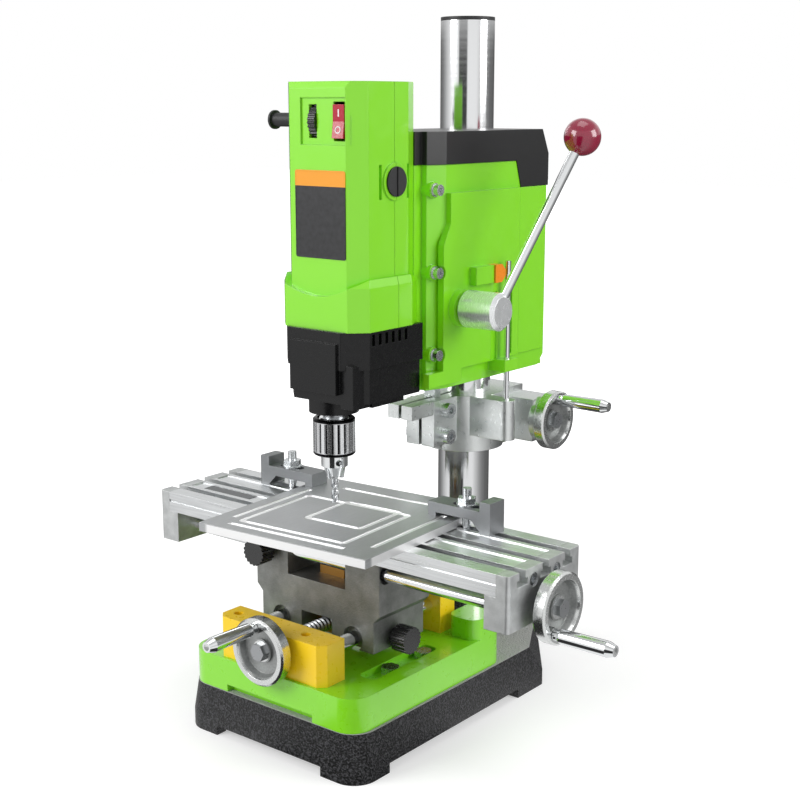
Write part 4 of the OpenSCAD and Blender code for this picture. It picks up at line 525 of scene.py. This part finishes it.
# Head cover: black ABS, injection moulded, snapped over the top of the housing round the column.
# Its fine mould texture gives it a satin sheen.
black_abs = finish("black_abs", {"Base Color": colour("#1d1d1e"), "IOR": 1.54},
                   grain_mm=0.7, rough=(0.28, 0.38), bump_mm=0.03, edge_mm=1.0)
dress(black_abs, "head_cover")

# Gearbox housing: die-cast aluminium under black satin enamel, below the motor, with the spindle's
# bearings in it. The enamel fills the casting's skin and shines softly.
black_satin = finish("black_satin_enamel", {"Base Color": colour("#121213"), "IOR": 1.52,
                                            "Specular IOR Level": 0.3},
                     grain_mm=3.0, detail=2.0, rough=(0.2, 0.32), bump_mm=0.08, edge_mm=1.0)
dress(black_satin, "gearbox_housing")

# Motor inside: enamelled copper wire, wound round the stator in the motor's shells and on the
# armature's shaft. The turns run upright, and are drawn as long fine streaks.
winding = finish("enamelled_copper", {"Base Color": colour("#b8653a"), "Metallic": 0.9},
                 grain_mm=0.8, stretch=(1, 1, 12), rough=(0.3, 0.42), bump_mm=0.2)
dress(winding, "motor_stator", "motor_rotor")

# Depth pointer: orange acetal, moulded, and fixed on the housing's right side beside the depth
# rod. Acetal looks slightly waxy.
orange_acetal = finish("orange_acetal", {"Base Color": colour("#f08a12"), "IOR": 1.48},
                       grain_mm=1.5, rough=(0.26, 0.34), bump_mm=0.02, edge_mm=0.4)
dress(orange_acetal, "depth_pointer")

# Feed hub: turned steel with a satin nickel plate, fixed on the feed pinion's shaft. Its flat end
# faces the operator's right, and turning marks run round it.
satin_nickel = finish("satin_nickel_plate", {"Base Color": colour("#eceeef"), "Metallic": 0.65},
                      grain_mm=1.2, stretch=(0.3, 4, 4), rough=(0.18, 0.3), bump_mm=0.01,
                      edge_mm=0.4)
dress(satin_nickel, "feed_hub")

# Lever ball: crimson phenolic, moulded round a brass insert, polished, and screwed on the end of
# the feed lever. It shines like lacquer.
crimson_phenolic = finish("crimson_phenolic", {"Base Color": colour("#8c0632"), "IOR": 1.6,
                                               "Coat Weight": 0.6, "Coat Roughness": 0.04},
                          grain_mm=6.0, detail=1.0, rough=(0.14, 0.2), bump_mm=0.01)
dress(crimson_phenolic, "lever_ball")

# Rocker switch: red ABS from a polished mould, on a pin in the motor's front beside the dial. Its
# upper half is pressed in and upright, and its lower half slopes out towards the bottom.
red_abs = finish("red_abs", {"Base Color": colour("#ad0a2c"), "IOR": 1.54},
                 grain_mm=2.0, detail=1.0, rough=(0.16, 0.24), bump_mm=0.01, edge_mm=0.5)
dress(red_abs, "rocker_switch")

# Rocker marks: a bar above and a ring below, pad printed on the rocker in matt white. The bar
# stands a tenth of a millimetre proud and the ring nearly half of one, so that they show.
white_print = finish("white_pad_print", {"Base Color": colour("#efefef"), "IOR": 1.5},
                     grain_mm=0.4, rough=(0.4, 0.55), bump_mm=0.01)
rocker_low, rocker_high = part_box("rocker_switch")
rocker_x, _, rocker_z = middle(rocker_low, rocker_high)
rocker_slope = 0.0015
rocker_face = rocker_low[1] + rocker_slope
press_angle = math.atan2(rocker_slope, rocker_high[2] - rocker_z)
mark_offset, mark_proud = 0.0062, 0.00012
bar_width, bar_height = 0.0011, 0.0055
ring_radius, ring_line = 0.0024, 0.00045
bpy.ops.object.select_all(action="DESELECT")
bpy.ops.mesh.primitive_cube_add(size=1, location=(rocker_x, rocker_face, rocker_z + mark_offset))
on_bar = bpy.context.object
on_bar.name = "on_bar"
on_bar.scale = (bar_width, 2 * mark_proud, bar_height)
bpy.ops.object.transform_apply(location=True, rotation=True, scale=True)
bar_round = on_bar.modifiers.new("round", "BEVEL")
bar_round.width = 0.0001
bpy.ops.object.modifier_apply(modifier="round")
bpy.ops.object.select_all(action="DESELECT")
bpy.ops.mesh.primitive_torus_add(major_segments=40, minor_segments=8,
                                 major_radius=ring_radius, minor_radius=ring_line,
                                 rotation=(math.radians(90) - press_angle, 0, 0),
                                 location=(rocker_x,
                                           rocker_face - mark_offset * math.tan(press_angle),
                                           rocker_z - mark_offset))
off_ring = bpy.context.object
off_ring.name = "off_ring"
bpy.ops.object.transform_apply(location=True, rotation=True, scale=True)
bpy.ops.object.shade_smooth()
for mark in (on_bar, off_ring):
    mark.data.materials.append(white_print)
    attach(mark, "rocker")

# Chuck jaws: three fingers of case-hardened steel, ground, which slide down the chuck's slanting
# bores. The ground faces are bright and a little streaky.
hardened_steel = finish("hardened_steel", {"Base Color": colour("#c2c4c6"), "Metallic": 1.0},
                        grain_mm=1.0, rough=(0.16, 0.26), bump_mm=0.01, edge_mm=0.2)
dress(hardened_steel, "chuck_jaw_1", "chuck_jaw_2", "chuck_jaw_3")

# Drill bit: a 6 mm drill in high speed steel. Its two flutes are ground as a right-hand helix, and
# its point stands on the workpiece.
bit_low, bit_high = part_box("drill_bit")
bit_radius = (bit_high[0] - bit_low[0]) / 2
bit_axis = middle(bit_low, bit_high)[:2]
bit_sides = 44
point_height, point_flat = bit_radius * 0.6, 0.1
flute_length, flute_turns, flute_rings = 0.024, 1.35, 60
flute_depth, flute_hollow, land_share = 0.62, 0.6, 0.1
bpy.ops.object.select_all(action="DESELECT")
bpy.ops.mesh.primitive_circle_add(vertices=bit_sides, radius=bit_radius, location=(0, 0, 0))
twist_drill = bpy.context.object
twist_drill.name = "twist_drill"
# the circle is drawn in on two sides, and the lands between them keep its radius
for vertex in twist_drill.data.vertices:
    turn = math.atan2(vertex.co.y, vertex.co.x)
    flute = max(0.0, math.cos(2 * turn) - land_share) / (1 - land_share)
    vertex.co *= 1 - flute_depth * flute ** flute_hollow
twist = twist_drill.modifiers.new("twist", "SCREW")
twist.axis = "Z"
twist.angle = math.radians(360 * flute_turns)
twist.screw_offset = flute_length
twist.steps = flute_rings
twist.render_steps = flute_rings
bpy.ops.object.modifier_apply(modifier="twist")
bpy.ops.object.mode_set(mode="EDIT")
same_height = 1e-6
for rim_height, pointed in ((0.0, True), (flute_length, False)):
    pick(twist_drill, "edges", lambda edge: all(abs(v.co.z - rim_height) < same_height
                                                for v in edge.verts))
    if pointed:
        bpy.ops.mesh.extrude_region_move(
            TRANSFORM_OT_translate={"value": (0, 0, -point_height)})
        bpy.ops.transform.resize(value=(point_flat, point_flat, 1),
                                 center_override=(0, 0, -point_height))
    bpy.ops.mesh.edge_face_add()
bpy.ops.mesh.select_all(action="SELECT")
bpy.ops.mesh.normals_make_consistent(inside=False)
bpy.ops.object.mode_set(mode="OBJECT")
twist_drill.location = (*bit_axis, bit_low[2] + point_height)
# the round shank starts just inside the fluted part's upper end
shank_overlap = 0.0004
shank_low = bit_low[2] + point_height + flute_length - shank_overlap
bpy.ops.object.select_all(action="DESELECT")
bpy.ops.mesh.primitive_cylinder_add(vertices=bit_sides, radius=bit_radius,
                                    depth=bit_high[2] - shank_low,
                                    location=(*bit_axis, (bit_high[2] + shank_low) / 2))
shank = bpy.context.object
shank_chamfer = shank.modifiers.new("chamfer", "BEVEL")
shank_chamfer.width = 0.0003
shank_chamfer.segments = 2
bpy.ops.object.modifier_apply(modifier="chamfer")
twist_drill.select_set(True)
bpy.context.view_layer.objects.active = twist_drill
bpy.ops.object.join()
bpy.ops.object.transform_apply(location=True, rotation=True, scale=True)
bpy.ops.object.shade_smooth_by_angle(angle=math.radians(34))
twist_drill.data.materials.append(hardened_steel)
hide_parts("drill_bit")
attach(twist_drill, "spindle")

# Chuck sleeve: a steel ring that turns on the chuck's body, fluted all round for the hand and
# blued nearly black. The ribs between the flutes are coloured near white, a painted highlight.
sleeve_steel = finish("blued_fluted_steel", {"Metallic": 1.0}, grain_mm=0.9, rough=(0.2, 0.32),
                      bump_mm=0.004)
tree, shader, place, _ = parts_of(sleeve_steel)
sleeve_low, sleeve_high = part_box("chuck_sleeve")
sleeve_centre = middle(sleeve_low, sleeve_high)
sleeve_radius = (sleeve_high[0] - sleeve_low[0]) / 2
rib_start, rib_full = 0.0011, 0.0005  # in from the ribs' tops
end_band, band_fade = 0.0026, 0.0002
sleeve_rib = add_node(tree, "MapRange", {"From Min": sleeve_radius - rib_start,
                                         "From Max": sleeve_radius - rib_full},
                      {"Value": off_axis(tree, place, sleeve_centre, 2)})
sleeve_split = add_node(tree, "SeparateXYZ", links={"Vector": place})
sleeve_up = add_node(tree, "Math", {"operation": "SUBTRACT", 1: sleeve_centre[2]},
                     {0: sleeve_split.outputs["Z"]})
sleeve_fold = add_node(tree, "Math", {"operation": "ABSOLUTE"}, {0: sleeve_up.outputs[0]})
# the plain bands at both ends stay blued
band_edge = (sleeve_high[2] - sleeve_low[2]) / 2 - end_band
sleeve_fluted = add_node(tree, "MapRange", {"From Min": band_edge + band_fade,
                                            "From Max": band_edge - band_fade},
                         {"Value": sleeve_fold.outputs[0]})
sleeve_rib_highlight = add_node(tree, "Math", {"operation": "MULTIPLY"},
                         {0: sleeve_rib.outputs[0], 1: sleeve_fluted.outputs[0]})
# near black where blued, and near white on the ribs' tops as a painted highlight
sleeve_tone_and_highlight = add_node(tree, "Mix", {"data_type": "RGBA", 6: colour("#141416"),
                                     7: colour("#dfe0e2")}, {0: sleeve_rib_highlight.outputs[0]})
tree.links.new(sleeve_tone_and_highlight.outputs[2], shader.inputs["Base Color"])
dress(sleeve_steel, "chuck_sleeve")

# Rating plate: a thin aluminium plate with rounded corners, printed satin black with an amber
# band at the top, and stuck in the panel of the motor's front.
panel_inset, plate_thickness = 0.004, 0.0006
plate_left, plate_right, plate_bottom, plate_top = -0.023, 0.028, 0.388, 0.455
plate_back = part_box("motor_shell_front")[0][1] + panel_inset
rating_plate = stamped_plate("rating_plate",
                             (plate_left, plate_back - plate_thickness, plate_bottom),
                             (plate_right, plate_back, plate_top),
                             outward=Vector((0, -1, 0)), corner=0.0018, rim=0.0007, sunk=0.00015)
printed_plate = finish("printed_aluminium_plate", {"IOR": 1.5}, grain_mm=4.0,
                       rough=(0.3, 0.42), bump_mm=0.01, edge_mm=0.1)
tree, shader, place, plate_haze = parts_of(printed_plate)
band_start, band_full = 0.0122, 0.0119  # down from the plate's top
plate_up = add_node(tree, "SeparateXYZ", links={"Vector": place}).outputs["Z"]
plate_band = add_node(tree, "MapRange", {"From Min": plate_top - band_start,
                                         "From Max": plate_top - band_full},
                      {"Value": plate_up})
plate_print = add_node(tree, "Mix", {"data_type": "RGBA", 7: colour("#ee9c1f")},
                       {0: plate_band.outputs[0],
                        6: mottle(tree, plate_haze, "#1c1c1e", "#262629")})
tree.links.new(plate_print.outputs[2], shader.inputs["Base Color"])
rating_plate.data.materials.append(printed_plate)
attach(rating_plate, "head")
